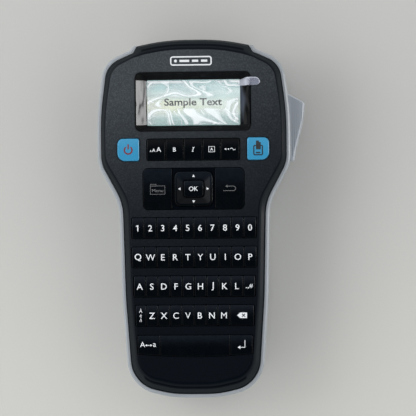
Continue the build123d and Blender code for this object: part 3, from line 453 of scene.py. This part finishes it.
def tape_finish():
    """Wound tape: fine rings on the edge of each turn."""
    made = Recipe("label_white")
    centre = middle("tape_roll")
    across, along, _ = made.axes()
    far = ((across - centre.x) ** 2.0 + (along - centre.y) ** 2.0) ** 0.5
    rings = far.maths("SINE", far * (2 * math.pi / TURN))
    tint = made.blend(rings * 0.5 + 0.5, (0.60, 0.61, 0.60), (0.86, 0.86, 0.84))
    return made.set(Base_Color=tint, Roughness=0.35, Normal=made.bump(rings, 0.01 * MM))


def floor_finish(colour):
    """Pale matt floor with painted light: a little brighter and warmer towards the handle."""
    made = Recipe("floor")
    cloud = made.noise(0.5, 3.0)
    tint = made.blend(cloud, shade(colour, 0.985), shade(colour, 1.01))
    # Painted light: the floor is painted brighter towards the handle.
    near = 1 - made.axes()[1].rise(-110 * MM, 90 * MM)
    painted_warm_light = made.blend(near, tint, (colour[0] * 1.11, colour[1] * 1.11, colour[2] * 1.09))
    return made.set(Base_Color=painted_warm_light, Roughness=0.75, Specular_IOR_Level=0.2)


def finish(nodes, recipe):
    """Gives CAD nodes a finish."""
    for name in nodes:
        for slot in NODES[name].material_slots:
            slot.material = recipe.material


# ---- Modelling by hand ------------------------------------------------------------------------
def alone(*pieces):
    """Selects only these objects; the first is the active one."""
    bpy.ops.object.select_all(action="DESELECT")
    for piece in pieces:
        piece.select_set(True)
    bpy.context.view_layer.objects.active = pieces[0] if pieces else None


def settle(piece):
    """Moves the object's place, turn and size into its mesh."""
    alone(piece)
    bpy.ops.object.transform_apply(location=True, rotation=True, scale=True)
    return piece


def tile(x, y, w, h, turn=0.0):
    """A flat rectangle, seen from above."""
    bpy.ops.object.select_all(action="DESELECT")
    bpy.ops.mesh.primitive_plane_add(size=1, location=(x, y, ABOVE), rotation=(0, 0, turn))
    piece = bpy.context.active_object
    piece.scale = (w, h, 1)
    return settle(piece)


def many_sided(x, y, r, sides, turn=0.0, squash=1.0):
    """A flat regular shape; squash shortens it along the way its first corner points."""
    bpy.ops.object.select_all(action="DESELECT")
    bpy.ops.mesh.primitive_circle_add(
        vertices=sides, radius=r, fill_type="NGON", location=(x, y, ABOVE), rotation=(0, 0, turn))
    piece = bpy.context.active_object
    piece.scale = (1, squash, 1)
    return settle(piece)


def triangle(x, y, r, heading):
    """A solid arrow head that points along heading."""
    return many_sided(x, y, r, 3, heading - math.pi / 2)


def hollow_out(piece, width):
    """Turns a flat face into a frame of this width."""
    alone(piece)
    bpy.ops.object.mode_set(mode="EDIT")
    bpy.ops.mesh.select_all(action="SELECT")
    bpy.ops.mesh.inset(thickness=width)
    bpy.ops.mesh.delete(type="FACE")
    bpy.ops.object.mode_set(mode="OBJECT")
    return piece


def round_corners(piece, radius):
    """Rounds the corners of a flat shape."""
    alone(piece)
    bpy.ops.object.mode_set(mode="EDIT")
    bpy.ops.mesh.select_all(action="SELECT")
    bpy.ops.mesh.bevel(offset=radius, segments=4, affect="VERTICES")
    bpy.ops.object.mode_set(mode="OBJECT")
    return piece


def lettering(text, x, y, height, weight=0.0, width=None):
    """A word as a flat mesh, centred on its own outline; height is that of a capital."""
    bpy.ops.object.select_all(action="DESELECT")
    bpy.ops.object.text_add(location=(0, 0, 0))
    word = bpy.context.active_object
    word.data.body = text
    word.data.size = height / CAPITAL_SHARE
    word.data.offset = weight
    word.data.resolution_u = 3
    bpy.ops.object.convert(target="MESH")
    word = bpy.context.active_object
    corners = [vertex.co for vertex in word.data.vertices]
    low_x, high_x = min(c.x for c in corners), max(c.x for c in corners)
    low_y, high_y = min(c.y for c in corners), max(c.y for c in corners)
    if width:
        word.scale = (width / (high_x - low_x), 1, 1)
    word.location = (x - (low_x + high_x) / 2 * word.scale.x, y - (low_y + high_y) / 2, ABOVE)
    return settle(word)


def arc_band(x, y, r, width, gap, facing):
    """A ring of this width with a gap of the given angle that faces one way."""
    bpy.ops.object.select_all(action="DESELECT")
    bpy.ops.mesh.primitive_circle_add(vertices=48, radius=r, fill_type="NGON", location=(x, y, ABOVE))
    piece = settle(bpy.context.active_object)
    hollow_out(piece, width)
    alone(piece)
    bpy.ops.object.mode_set(mode="EDIT")
    bpy.ops.mesh.select_mode(type="FACE")
    bpy.ops.mesh.select_all(action="DESELECT")
    bpy.ops.object.mode_set(mode="OBJECT")
    for face in piece.data.polygons:
        angle = math.atan2(face.center.y - y, face.center.x - x) - facing
        face.select = abs((angle + math.pi) % (2 * math.pi) - math.pi) < gap / 2
    bpy.ops.object.mode_set(mode="EDIT")
    bpy.ops.mesh.delete(type="FACE")
    bpy.ops.object.mode_set(mode="OBJECT")
    return piece


def joined(name, pieces):
    """Makes one named piece of several."""
    alone(*pieces)
    if len(pieces) > 1:
        bpy.ops.object.join()
    piece = bpy.context.active_object
    piece.name = name
    piece.data.name = name
    return piece


def apply_modifiers(piece):
    """Works a piece's modifiers into its mesh."""
    alone(piece)
    for modifier in list(piece.modifiers):
        bpy.ops.object.modifier_apply(modifier=modifier.name)


def print_on(node, name, pieces, body, recipe, lift=INK_LIFT):
    """Lays flat shapes over a node as a thin coat of ink that follows the surface."""
    piece = joined(name, pieces)
    ys = [vertex.co.y for vertex in piece.data.vertices]
    bpy.ops.object.mode_set(mode="EDIT")
    cuts = max(1, math.ceil((max(ys) - min(ys)) / STRIP))
    for i in range(1, cuts):
        level = min(ys) + (max(ys) - min(ys)) * i / cuts
        bpy.ops.mesh.select_all(action="SELECT")
        bpy.ops.mesh.bisect(plane_co=(0, level, 0), plane_no=(0, 1, 0))
    bpy.ops.object.mode_set(mode="OBJECT")
    drop = piece.modifiers.new("drop", "SHRINKWRAP")
    drop.wrap_method = "PROJECT"
    drop.use_project_z = True
    drop.use_negative_direction = True
    drop.use_positive_direction = False
    drop.target = NODES[node]
    drop.offset = lift
    coat = piece.modifiers.new("coat", "SOLIDIFY")
    coat.thickness = INK_DEPTH
    coat.offset = 1.0
    apply_modifiers(piece)
    piece.data.materials.clear()
    piece.data.materials.append(recipe.material)
    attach(piece, body)
    return piece


# ---- Sizes and colours a user would change ------------------------------------------------------
def colour_property(name, words, default):
    """A colour that can be changed in the panel."""
    return bpy.props.FloatVectorProperty(
        name=name, description=words, subtype="COLOR", size=3, min=0.0, max=1.0, default=default)


def length_property(name, words, default):
    """A length that can be changed in the panel."""
    return bpy.props.FloatProperty(name=name, description=words, default=default, unit="LENGTH", precision=5)


class ShellSettings(bpy.types.PropertyGroup):
    """Colours of the shells and the lever"""

    front: colour_property("Front shell", "Colour of the dark front shell", (0.0006, 0.0020, 0.0044))
    # head: the lit colour painted on the face towards the display end; painted light, not a different plastic
    head: colour_property("Head of the shell", "Colour of the display end", (0.036, 0.042, 0.047))
    rear: colour_property("Rear casing", "Colour of the light rear casing", (0.285, 0.312, 0.335))
    # lever: set lighter than the rear casing to make up for the shade it sits in beside the shell; painted
    # light on the same grey plastic
    lever: colour_property("Cutter lever", "Colour of the side lever", (0.375, 0.405, 0.44))


class KeySettings(bpy.types.PropertyGroup):
    """Colours of the keys and the look of their legends"""

    black: colour_property("Black keys", "Colour of the letter keys", (0.0008, 0.0016, 0.0026))
    blue: colour_property("Blue keys", "Colour of the power and print keys", (0.022, 0.238, 0.425))
    ink: colour_property("Legends", "Colour of the printed legends", (0.78, 0.80, 0.82))
    capital: length_property("Capital height", "Height of a capital on a letter key", 3.75 * MM)
    weight: bpy.props.FloatProperty(
        name="Weight", description="How much each stroke of a letter is thickened", default=0.00004,
        precision=5)


class DisplaySettings(bpy.types.PropertyGroup):
    """Words on the display"""

    words: bpy.props.StringProperty(name="Words", description="Words on the display", default="Sample Text")
    width: length_property("Width", "Length of the words", 33.5 * MM)
    capital: length_property("Capital height", "Height of the words' capitals", 4.2 * MM)


class StageSettings(bpy.types.PropertyGroup):
    """Floor, camera and light"""

    floor: colour_property("Floor", "Colour of the floor", (0.50, 0.497, 0.475))
    place: bpy.props.FloatVectorProperty(
        name="Camera place", description="Where the camera stands", subtype="TRANSLATION", unit="LENGTH",
        default=(0.0915, 0.0218, 1.3426))
    turn: bpy.props.FloatVectorProperty(
        name="Camera turn", description="How the camera is turned from straight down", subtype="EULER",
        default=(math.radians(-0.72), math.radians(3.68), math.radians(-0.56)))
    lens: bpy.props.FloatProperty(
        name="Lens", description="Focal length", subtype="DISTANCE_CAMERA", default=195.1)
    sky: bpy.props.FloatProperty(
        name="Sky", description="Strength of the light from all round", default=1.62)
    lamp: bpy.props.FloatProperty(
        name="Lamp", description="Power of the large soft lamp", unit="POWER", default=3.4)


# ---- Operators ----------------------------------------------------------------------------------
class LABELMAKER_OT_shells(bpy.types.Operator):
    """Finish the front shell, the rear casing, its doors and the cutter lever"""

    bl_idname = "labelmaker.shells"
    bl_label = "Shells"

    def execute(self, context):
        colours = context.scene.label_shells
        finish(["front_housing"], front_shell_finish(tuple(colours.front), tuple(colours.head)))
        light = rear_shell_finish("rear_shell", tuple(colours.rear))
        finish(["rear_housing", "cassette_door", "battery_door"], light)
        # The lever's grey is painted lighter than the casing's, standing in for light it does not get in the
        # shade of the shell.
        finish(["cutter_lever"], rear_shell_finish("lever_grey", tuple(colours.lever)))
        finish(["display_bezel"], bezel_finish())
        return {"FINISHED"}


class LABELMAKER_OT_works(bpy.types.Operator):
    """Finish the pieces inside: board, mat, cells, cassette, gears and cutter"""

    bl_idname = "labelmaker.works"
    bl_label = "Works"

    def execute(self, context):
        finish(["main_board"], board_finish())
        finish(["aaa_cells"], cell_finish())
        finish(["tape_roll", "label_strip"], tape_finish())
        steel = brushed("steel", (0.50, 0.50, 0.51))
        finish(["housing_screws", "board_screws", "lever_pin", "return_spring", "head_bracket"], steel)
        finish(["platen_shaft", "cutter_blade", "cutter_anvil", "drive_motor", "motor_core"], steel)
        finish(["battery_contacts"], brushed("nickel", (0.72, 0.71, 0.67), 0.2))
        finish(["keypad_mat"], moulded("silicone", (0.010, 0.010, 0.011), 0.6))
        finish(["platen_roller"], moulded("black_rubber", (0.02, 0.02, 0.02), 0.7, 0.6 * MM, 0.02 * MM))
        grey = moulded("grey_plastic", (0.13, 0.135, 0.14), 0.5)
        finish(["battery_tray", "chassis", "nav_gimbal", "blade_carriage"], grey)
        white = moulded("white_plastic", (0.72, 0.72, 0.69), 0.4)
        finish(["display_holder", "idler_gear", "platen_gear", "motor_pinion", "takeup_spindle"], white)
        finish(["cassette_shell", "power_jack"], moulded("cassette_plastic", (0.045, 0.045, 0.05), 0.25))
        finish(["ribbon_spool", "takeup_spool"], moulded("ribbon_black", (0.012, 0.012, 0.012), 0.18))
        finish(["print_head"], moulded("ceramic", (0.68, 0.65, 0.56), 0.2))
        return {"FINISHED"}


class LABELMAKER_OT_keys(bpy.types.Operator):
    """Finish the black and the blue keys"""

    bl_idname = "labelmaker.keys"
    bl_label = "Keys"

    def execute(self, context):
        colours = context.scene.label_keys
        for node in BLACK_KEYS:
            # Format keys get no painted sheen.
            glow = 0.0 if node in FORMAT_KEYS else 1.0
            finish([node], key_finish(node, tuple(colours.black), glow))
        finish(["power_key", "print_key"], blue_finish(tuple(colours.blue)))
        return {"FINISHED"}


class LABELMAKER_OT_letters(bpy.types.Operator):
    """Print the letters and digits on their rows of keys"""

    bl_idname = "labelmaker.letters"
    bl_label = "Letters and digits"

    def execute(self, context):
        style = context.scene.label_keys
        white = ink("legend_white", tuple(style.ink))
        for node, legends in KEY_ROWS.items():
            low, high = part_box(node)
            width = (high.x - low.x - KEY_SPACE * (len(legends) - 1)) / len(legends)
            level = (low.y + high.y) / 2
            words = []
            for i, legend in enumerate(legends):
                x = low.x + width / 2 + i * (width + KEY_SPACE)
                if len(legend) > 1:
                    words += draw_points(x, level)
                else:
                    weight = 0.0 if legend in SHARP else style.weight
                    words.append(lettering(legend, x, level, style.capital, weight))
                if legend == "1":
                    words.append(tile(x - 0.55 * MM, level + 1.35 * MM, 1.0 * MM, 0.5 * MM, 0.6))
            print_on(node, "legend_" + node, words, node, white)
        return {"FINISHED"}


class LABELMAKER_OT_symbols(bpy.types.Operator):
    """Print the signs on the format, arrow and editing keys"""

    bl_idname = "labelmaker.symbols"
    bl_label = "Signs"

    def execute(self, context):
        style = context.scene.label_keys
        white = ink("legend_white_signs", tuple(style.ink))
        faint = ink("legend_grey", shade(tuple(style.ink), 0.17))
        for node, (draw, paint) in signs(white, faint).items():
            centre = middle(node)
            print_on(node, "legend_" + node, draw(centre.x, centre.y), node, paint)
        centre = middle("backspace_key")
        cross = draw_cross(centre.x, centre.y)
        gap = ink("legend_gap", tuple(style.black))
        print_on("backspace_key", "legend_cross", cross, "backspace_key", gap, INK_LIFT * 2 + INK_DEPTH)
        return {"FINISHED"}


def signs(white, faint):
    """What is printed on each key that has a sign, and in which ink."""
    red = ink("legend_red", (0.16, 0.012, 0.014))
    black = ink("legend_black", (0.010, 0.011, 0.014))
    return {
        "text_size_key": (draw_sizes, white),
        "bold_key": (lambda x, y: [lettering("B", x, y, 2.5 * MM, 0.00005)], white),
        "italic_key": (draw_italic, white),
        "frame_key": (draw_frame, white),
        "symbol_key": (draw_symbols, white),
        "menu_key": (draw_folder, faint),
        "back_key": (draw_return, faint),
        "nav_ring": (draw_arrows, white),
        "ok_key": (lambda x, y: [lettering("OK", x, y, 2.6 * MM, 0.00004)], white),
        "accent_key": (draw_accents, white),
        "backspace_key": (draw_tag, white),
        "caps_key": (draw_capitals, white),
        "enter_key": (draw_enter, white),
        "power_key": (draw_power, red),
        "print_key": (draw_print, black),
    }


def draw_points(x, y):
    """A full stop, a comma and a hash, apart from one another."""
    base = y - 0.9 * MM
    dots = [many_sided(x + shift * MM, base, 0.33 * MM, 12) for shift in (-1.65, -0.55)]
    tail = triangle(x - 0.65 * MM, base - 0.4 * MM, 0.42 * MM, -2.0)
    return [*dots, tail, lettering("#", x + 1.05 * MM, y, 2.5 * MM, 0.00002)]


def draw_sizes(x, y):
    """Three capitals, each larger than the last, on one base line."""
    base = y - 1.3 * MM
    words = []
    for shift, height in ((-3.1, 1.2), (-1.3, 2.0), (1.6, 2.9)):
        words.append(lettering("A", x + shift * MM, base + height * MM / 2, height * MM, 0.00002))
    return words


def draw_italic(x, y):
    """A leaning capital with a serif at each end."""
    lean, half = 0.24, 1.15 * MM
    ends = [tile(x + side * half * lean, y + side * half, 1.15 * MM, 0.26 * MM) for side in (-1, 1)]
    return [tile(x, y, 0.40 * MM, 2.35 * MM, -lean), *ends]


def draw_frame(x, y):
    """A letter in a frame."""
    outer = hollow_out(tile(x, y, 3.6 * MM, 3.3 * MM), 0.24 * MM)
    return [outer, lettering("A", x, y, 1.8 * MM, 0.00003)]


def draw_symbols(x, y):
    """Small signs in a row: an arrow head, a dot and a wave."""
    head = triangle(x - 2.6 * MM, y, 0.75 * MM, math.pi)
    dot = many_sided(x - 1.0 * MM, y, 0.45 * MM, 12)
    wave = arc_band(x + 0.8 * MM, y - 0.1 * MM, 0.8 * MM, 0.3 * MM, math.pi, -math.pi / 2)
    wave_too = arc_band(x + 2.2 * MM, y + 0.1 * MM, 0.8 * MM, 0.3 * MM, math.pi, math.pi / 2)
    return [head, dot, wave, wave_too]


def draw_folder(x, y):
    """A folder with its name in it."""
    line = 0.22 * MM
    frame_piece = hollow_out(tile(x, y - 0.6 * MM, 8.6 * MM, 5.0 * MM), line)
    tab = hollow_out(tile(x - 2.5 * MM, y + 2.2 * MM, 3.4 * MM, 1.3 * MM), line)
    return [frame_piece, tab, lettering("Menu", x, y - 0.9 * MM, 1.8 * MM, 0.0, width=6.4 * MM)]


def draw_return(x, y):
    """An arrow that turns back on itself."""
    line = 0.28 * MM
    top = tile(x + 0.3 * MM, y + 1.3 * MM, 3.6 * MM, line)
    low = tile(x - 0.8 * MM, y - 1.3 * MM, 5.8 * MM, line)
    bend = arc_band(x + 2.1 * MM, y, 1.3 * MM + line / 2, line, math.pi, math.pi)
    return [top, low, bend, triangle(x - 1.6 * MM, y + 1.3 * MM, 0.8 * MM, math.pi)]


def draw_arrows(x, y):
    """Four arrow heads, one on each side of the ring."""
    reach_x, reach_y, size = 8.0 * MM, 7.25 * MM, 0.95 * MM
    return [
        triangle(x + reach_x, y, size, 0.0), triangle(x - reach_x, y, size, math.pi),
        triangle(x, y + reach_y, size, math.pi / 2), triangle(x, y - reach_y, size, -math.pi / 2),
    ]


def draw_accents(x, y):
    """Three accented letters, one under the other."""
    return [lettering(letter, x, y + shift * MM, 2.1 * MM)
            for letter, shift in (("Á", 3.0), ("é", 0.1), ("ñ", -2.6))]


def draw_tag(x, y):
    """A filled tag that points to the left."""
    point = many_sided(x - 1.65 * MM, y, 1.85 * MM, 3, math.pi / 2, 0.65)
    return [tile(x + 0.9 * MM, y, 3.9 * MM, 3.2 * MM), point]


def draw_cross(x, y):
    """The cross in the middle of the tag."""
    return [tile(x + 0.9 * MM, y, 2.5 * MM, 0.52 * MM, side * math.pi / 4) for side in (-1, 1)]


def draw_capitals(x, y):
    """A capital and a small letter with a double-headed arrow between."""
    line = tile(x, y - 0.2 * MM, 2.6 * MM, 0.32 * MM)
    heads = [triangle(x + side * 1.35 * MM, y - 0.2 * MM, 0.78 * MM, turn)
             for side, turn in ((-1, math.pi), (1, 0.0))]
    return [lettering("A", x - 3.5 * MM, y + 0.3 * MM, 3.1 * MM, 0.00003), line, *heads,
            lettering("a", x + 3.4 * MM, y - 0.05 * MM, 3.1 * MM, 0.00003)]


def draw_enter(x, y):
    """A line down from the top right that turns to an arrow on the left."""
    line = 0.38 * MM
    upright = tile(x + 2.0 * MM, y + 0.35 * MM, line, 4.4 * MM)
    return [upright, tile(x + 0.6 * MM, y - 1.6 * MM, 2.9 * MM, line),
            triangle(x - 1.2 * MM, y - 1.6 * MM, 1.1 * MM, math.pi)]


def draw_power(x, y):
    """A broken ring with a bar in the gap."""
    return [arc_band(x, y - 0.2 * MM, 2.6 * MM, 0.82 * MM, math.radians(70), math.pi / 2),
            tile(x, y + 1.75 * MM, 0.80 * MM, 2.9 * MM)]


def draw_print(x, y):
    """A label that comes out of a small maker."""
    body = hollow_out(round_corners(tile(x, y - 0.9 * MM, 5.6 * MM, 6.0 * MM), 0.9 * MM), 0.68 * MM)
    label = tile(x + 0.15 * MM, y + 1.6 * MM, 2.7 * MM, 4.2 * MM)
    curl = tile(x - 0.35 * MM, y + 4.1 * MM, 1.7 * MM, 0.9 * MM)
    foot = round_corners(tile(x, y - 2.3 * MM, 2.6 * MM, 0.8 * MM), 0.3 * MM)
    return [body, label, curl, foot]


class LABELMAKER_OT_badge(bpy.types.Operator):
    """Print a plain drawing of a label strip over the display"""

    bl_idname = "labelmaker.badge"
    bl_label = "Badge"

    def execute(self, context):
        white = ink("badge_white", (0.74, 0.76, 0.77))
        y = (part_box("display_bezel")[1].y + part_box("front_housing")[1].y) / 2 - 3.1 * MM
        strip = hollow_out(round_corners(tile(-0.8 * MM, y, 24.0 * MM, 5.4 * MM), 1.5 * MM), 0.75 * MM)
        hole = many_sided(-9.7 * MM, y, 0.85 * MM, 20)
        bars = [tile(x * MM, y, w * MM, 1.3 * MM) for x, w in ((-4.6, 5.6), (1.6, 3.6), (6.8, 3.6))]
        print_on("front_housing", "badge_strip", [strip, hole, *bars], BODY, white)
        return {"FINISHED"}


class LABELMAKER_OT_display(bpy.types.Operator):
    """Finish the display and print sample words on it"""

    bl_idname = "labelmaker.display"
    bl_label = "Display"

    def execute(self, context):
        style = context.scene.label_display
        finish(["display_panel"], crystal_finish())
        finish(["display_window"], window_finish())
        centre = middle("display_window")
        x, y = centre.x - 0.3 * MM, centre.y - 0.2 * MM
        words = lettering(style.words, x, y, style.capital, 0.00013, style.width)
        dark = ink("display_ink", (0.002, 0.003, 0.003))
        print_on("display_panel", "display_words", [words], BODY, dark)
        return {"FINISHED"}


class LABELMAKER_OT_film(bpy.types.Operator):
    """Make the protective film on the window, with its pull tab"""

    bl_idname = "labelmaker.film"
    bl_label = "Protective film"

    def execute(self, context):
        low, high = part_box("display_film")
        window_low, window_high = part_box("display_window")
        level = window_high.z + 0.05 * MM
        left, right = window_low.x + 0.3 * MM, window_high.x - 0.9 * MM
        tab_y = high.y - TAB_HALF
        bpy.ops.object.select_all(action="DESELECT")
        bpy.ops.mesh.primitive_grid_add(x_subdivisions=110, y_subdivisions=44, size=1)
        film = bpy.context.active_object
        film.name = "protective_film"
        top = window_high.y - 0.35 * MM
        film.scale = (right - left, top - low.y, 1)
        film.location = ((left + right) / 2, (low.y + top) / 2, level)
        settle(film)
        edge = [v.index for v in film.data.vertices
                if v.co.x > right - 0.01 * MM and v.co.y > tab_y - TAB_HALF]
        self.pull_tab(film, edge, right, tab_y, high, level)
        for vertex in film.data.vertices:
            if vertex.co.x <= right:
                vertex.co.z += swell(vertex.co.x, vertex.co.y, low, high)
        skin = film.modifiers.new("skin", "SOLIDIFY")
        skin.thickness = 0.06 * MM
        skin.offset = 1.0
        apply_modifiers(film)
        bpy.ops.object.shade_smooth()
        film.data.materials.clear()
        film.data.materials.append(film_finish().material)
        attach(film, BODY)
        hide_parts("display_film")
        return {"FINISHED"}

    def pull_tab(self, film, edge, right, tab_y, high, level):
        """Draws the film's edge out, up over the rim and to a round end."""
        rise = high.z - level - 0.26 * MM
        # each step's run across, and its share of the climb
        steps = [*[(1.3, 0.20)] * 4, (1.0, 0.13), (0.8, 0.06), (1.4, 0.0), (1.7, -0.01), (1.0, -0.01),
                 (0.9, -0.01), (0.6, 0.0)]
        scale = (high.x - right) / sum(step for step, _ in steps)
        alone(film)
        bpy.ops.object.mode_set(mode="EDIT")
        bpy.ops.mesh.select_mode(type="VERT")
        bpy.ops.mesh.select_all(action="DESELECT")
        bpy.ops.object.mode_set(mode="OBJECT")
        for index in edge:
            film.data.vertices[index].select = True
        bpy.ops.object.mode_set(mode="EDIT")
        for step, share in steps:
            bpy.ops.mesh.extrude_edges_move(TRANSFORM_OT_translate={"value": (step * scale, 0, share * rise)})
        bpy.ops.object.mode_set(mode="OBJECT")
        half = TAB_HALF
        tab_low = tab_y - half
        grow = 2 * half / (max(film.data.vertices[i].co.y for i in edge) - tab_low)
        for vertex in film.data.vertices:
            share = min(1.0, max(0.0, (vertex.co.x - right - 1 * MM) / (4 * MM)))
            if share > 0:
                vertex.co.y = tab_low + (vertex.co.y - tab_low) * (1 + (grow - 1) * share)
            beyond = vertex.co.x - (high.x - half)
            if beyond > 0:
                room = math.sqrt(max(0.0, half * half - beyond * beyond * 0.96))
                vertex.co.y = tab_y + (vertex.co.y - tab_y) * room / half


def swell(x, y, low, high):
    """How far the film lifts off the window: a few long shallow ripples that die out at its edges."""
    across = (x - low.x) / (high.x - low.x)
    along = (y - low.y) / (high.y - low.y)
    fade = min(1.0, 8 * along * (1 - along))
    ripple = math.sin(across * 19 + along * 4) + math.sin(across * 7 - along * 9 + 1.3) * 0.8
    return (1.1 + ripple * 0.55) * 0.11 * MM * fade


class LABELMAKER_OT_stage(bpy.types.Operator):
    """Set up the floor, the lamps and the camera"""

    bl_idname = "labelmaker.stage"
    bl_label = "Stage"

    def execute(self, context):
        style = context.scene.label_stage
        bpy.ops.object.select_all(action="DESELECT")
        bpy.ops.mesh.primitive_plane_add(size=6, location=(0, 0, 0))
        floor = bpy.context.active_object
        floor.name = "floor"
        floor.data.materials.append(floor_finish(tuple(style.floor)).material)
        self.lamps(style)
        bpy.ops.object.camera_add(location=style.place, rotation=style.turn)
        camera = bpy.context.active_object
        camera.data.lens = style.lens
        camera.data.sensor_width = 36
        camera.data.clip_end = 20
        context.scene.camera = camera
        context.scene.view_settings.view_transform = "Standard"
        context.scene.view_settings.look = "None"
        return {"FINISHED"}

    def lamps(self, style):
        """Light from all round, brighter to the left and dark straight above, and three soft lamps."""
        sky = bpy.data.worlds.new("studio")
        bpy.context.scene.world = sky
        made = Recipe("studio", sky)
        toward = made.add("ShaderNodeTexCoord", {}, {})["Generated"]
        split = made.add("ShaderNodeSeparateXYZ", {}, {0: toward})
        left = (split["Y"] * 0.35 - split["X"] * 0.94).rise(-0.9, 0.9)
        sides = split["X"].absolute().rise(0.15, 0.65)
        over = split["Z"] * 0.97 - split["Y"] * 0.24
        level = (0.90 + left * 0.22) * (0.55 + sides * 0.45) * (1 - over.rise(0.78, 0.95) * 0.97)
        made.set(Color=made.blend(level * 0.5, (0.0, 0.0, 0.0), (2.0, 2.02, 2.06)), Strength=style.sky)
        self.lamp("large_soft_lamp", (-1.10, 0.30, 0.95), 0.90, style.lamp)
        head = self.lamp("head_lamp", (-0.30, 0.26, 0.40), 0.20, style.lamp * 0.2)
        head.visible_diffuse = False
        card = self.lamp("side_card", (0.75, 0.07, 0.16), 0.22, style.lamp * 1.1)
        card.visible_diffuse = False

    def lamp(self, name, place, size, power):
        """A round soft lamp that faces the display."""
        bpy.ops.object.select_all(action="DESELECT")
        bpy.ops.object.light_add(type="AREA", location=place)
        lamp = bpy.context.active_object
        lamp.name = name
        lamp.data.shape = "DISK"
        lamp.data.size = size
        lamp.data.energy = power
        aim = middle("display_window")
        lamp.rotation_euler = (aim - lamp.location).to_track_quat("-Z", "Y").to_euler()
        return lamp


STEPS = [
    LABELMAKER_OT_stage, LABELMAKER_OT_shells, LABELMAKER_OT_works, LABELMAKER_OT_keys, LABELMAKER_OT_letters,
    LABELMAKER_OT_symbols, LABELMAKER_OT_badge, LABELMAKER_OT_display, LABELMAKER_OT_film,
]
SETTINGS = {"label_shells": ShellSettings, "label_keys": KeySettings, "label_display": DisplaySettings,
            "label_stage": StageSettings}


class LABELMAKER_PT_panel(bpy.types.Panel):
    """Lists the steps that dress the label maker"""

    bl_label = "Label Maker"
    bl_idname = "LABELMAKER_PT_panel"
    bl_space_type = "VIEW_3D"
    bl_region_type = "UI"
    bl_category = "Label Maker"

    def draw(self, context):
        for step in STEPS:
            self.layout.operator(step.bl_idname)
        for group in SETTINGS:
            holder = getattr(context.scene, group)
            for name in holder.bl_rna.properties.keys():
                if name not in ("rna_type", "name"):
                    self.layout.prop(holder, name)


def register():
    """Makes the settings, steps and panel known."""
    for group in SETTINGS.values():
        bpy.utils.register_class(group)
    for step in STEPS:
        bpy.utils.register_class(step)
    bpy.utils.register_class(LABELMAKER_PT_panel)
    for name, group in SETTINGS.items():
        setattr(bpy.types.Scene, name, bpy.props.PointerProperty(type=group))


def unregister():
    """Takes them all away again."""
    for name in SETTINGS:
        delattr(bpy.types.Scene, name)
    bpy.utils.unregister_class(LABELMAKER_PT_panel)
    for step in reversed(STEPS):
        bpy.utils.unregister_class(step)
    for group in reversed(list(SETTINGS.values())):
        bpy.utils.unregister_class(group)


def main():
    """Dresses the label maker step by step."""
    register()
    for step in STEPS:
        family, name = step.bl_idname.split(".")
        getattr(getattr(bpy.ops, family), name)()


if __name__ == "__main__":
    main()
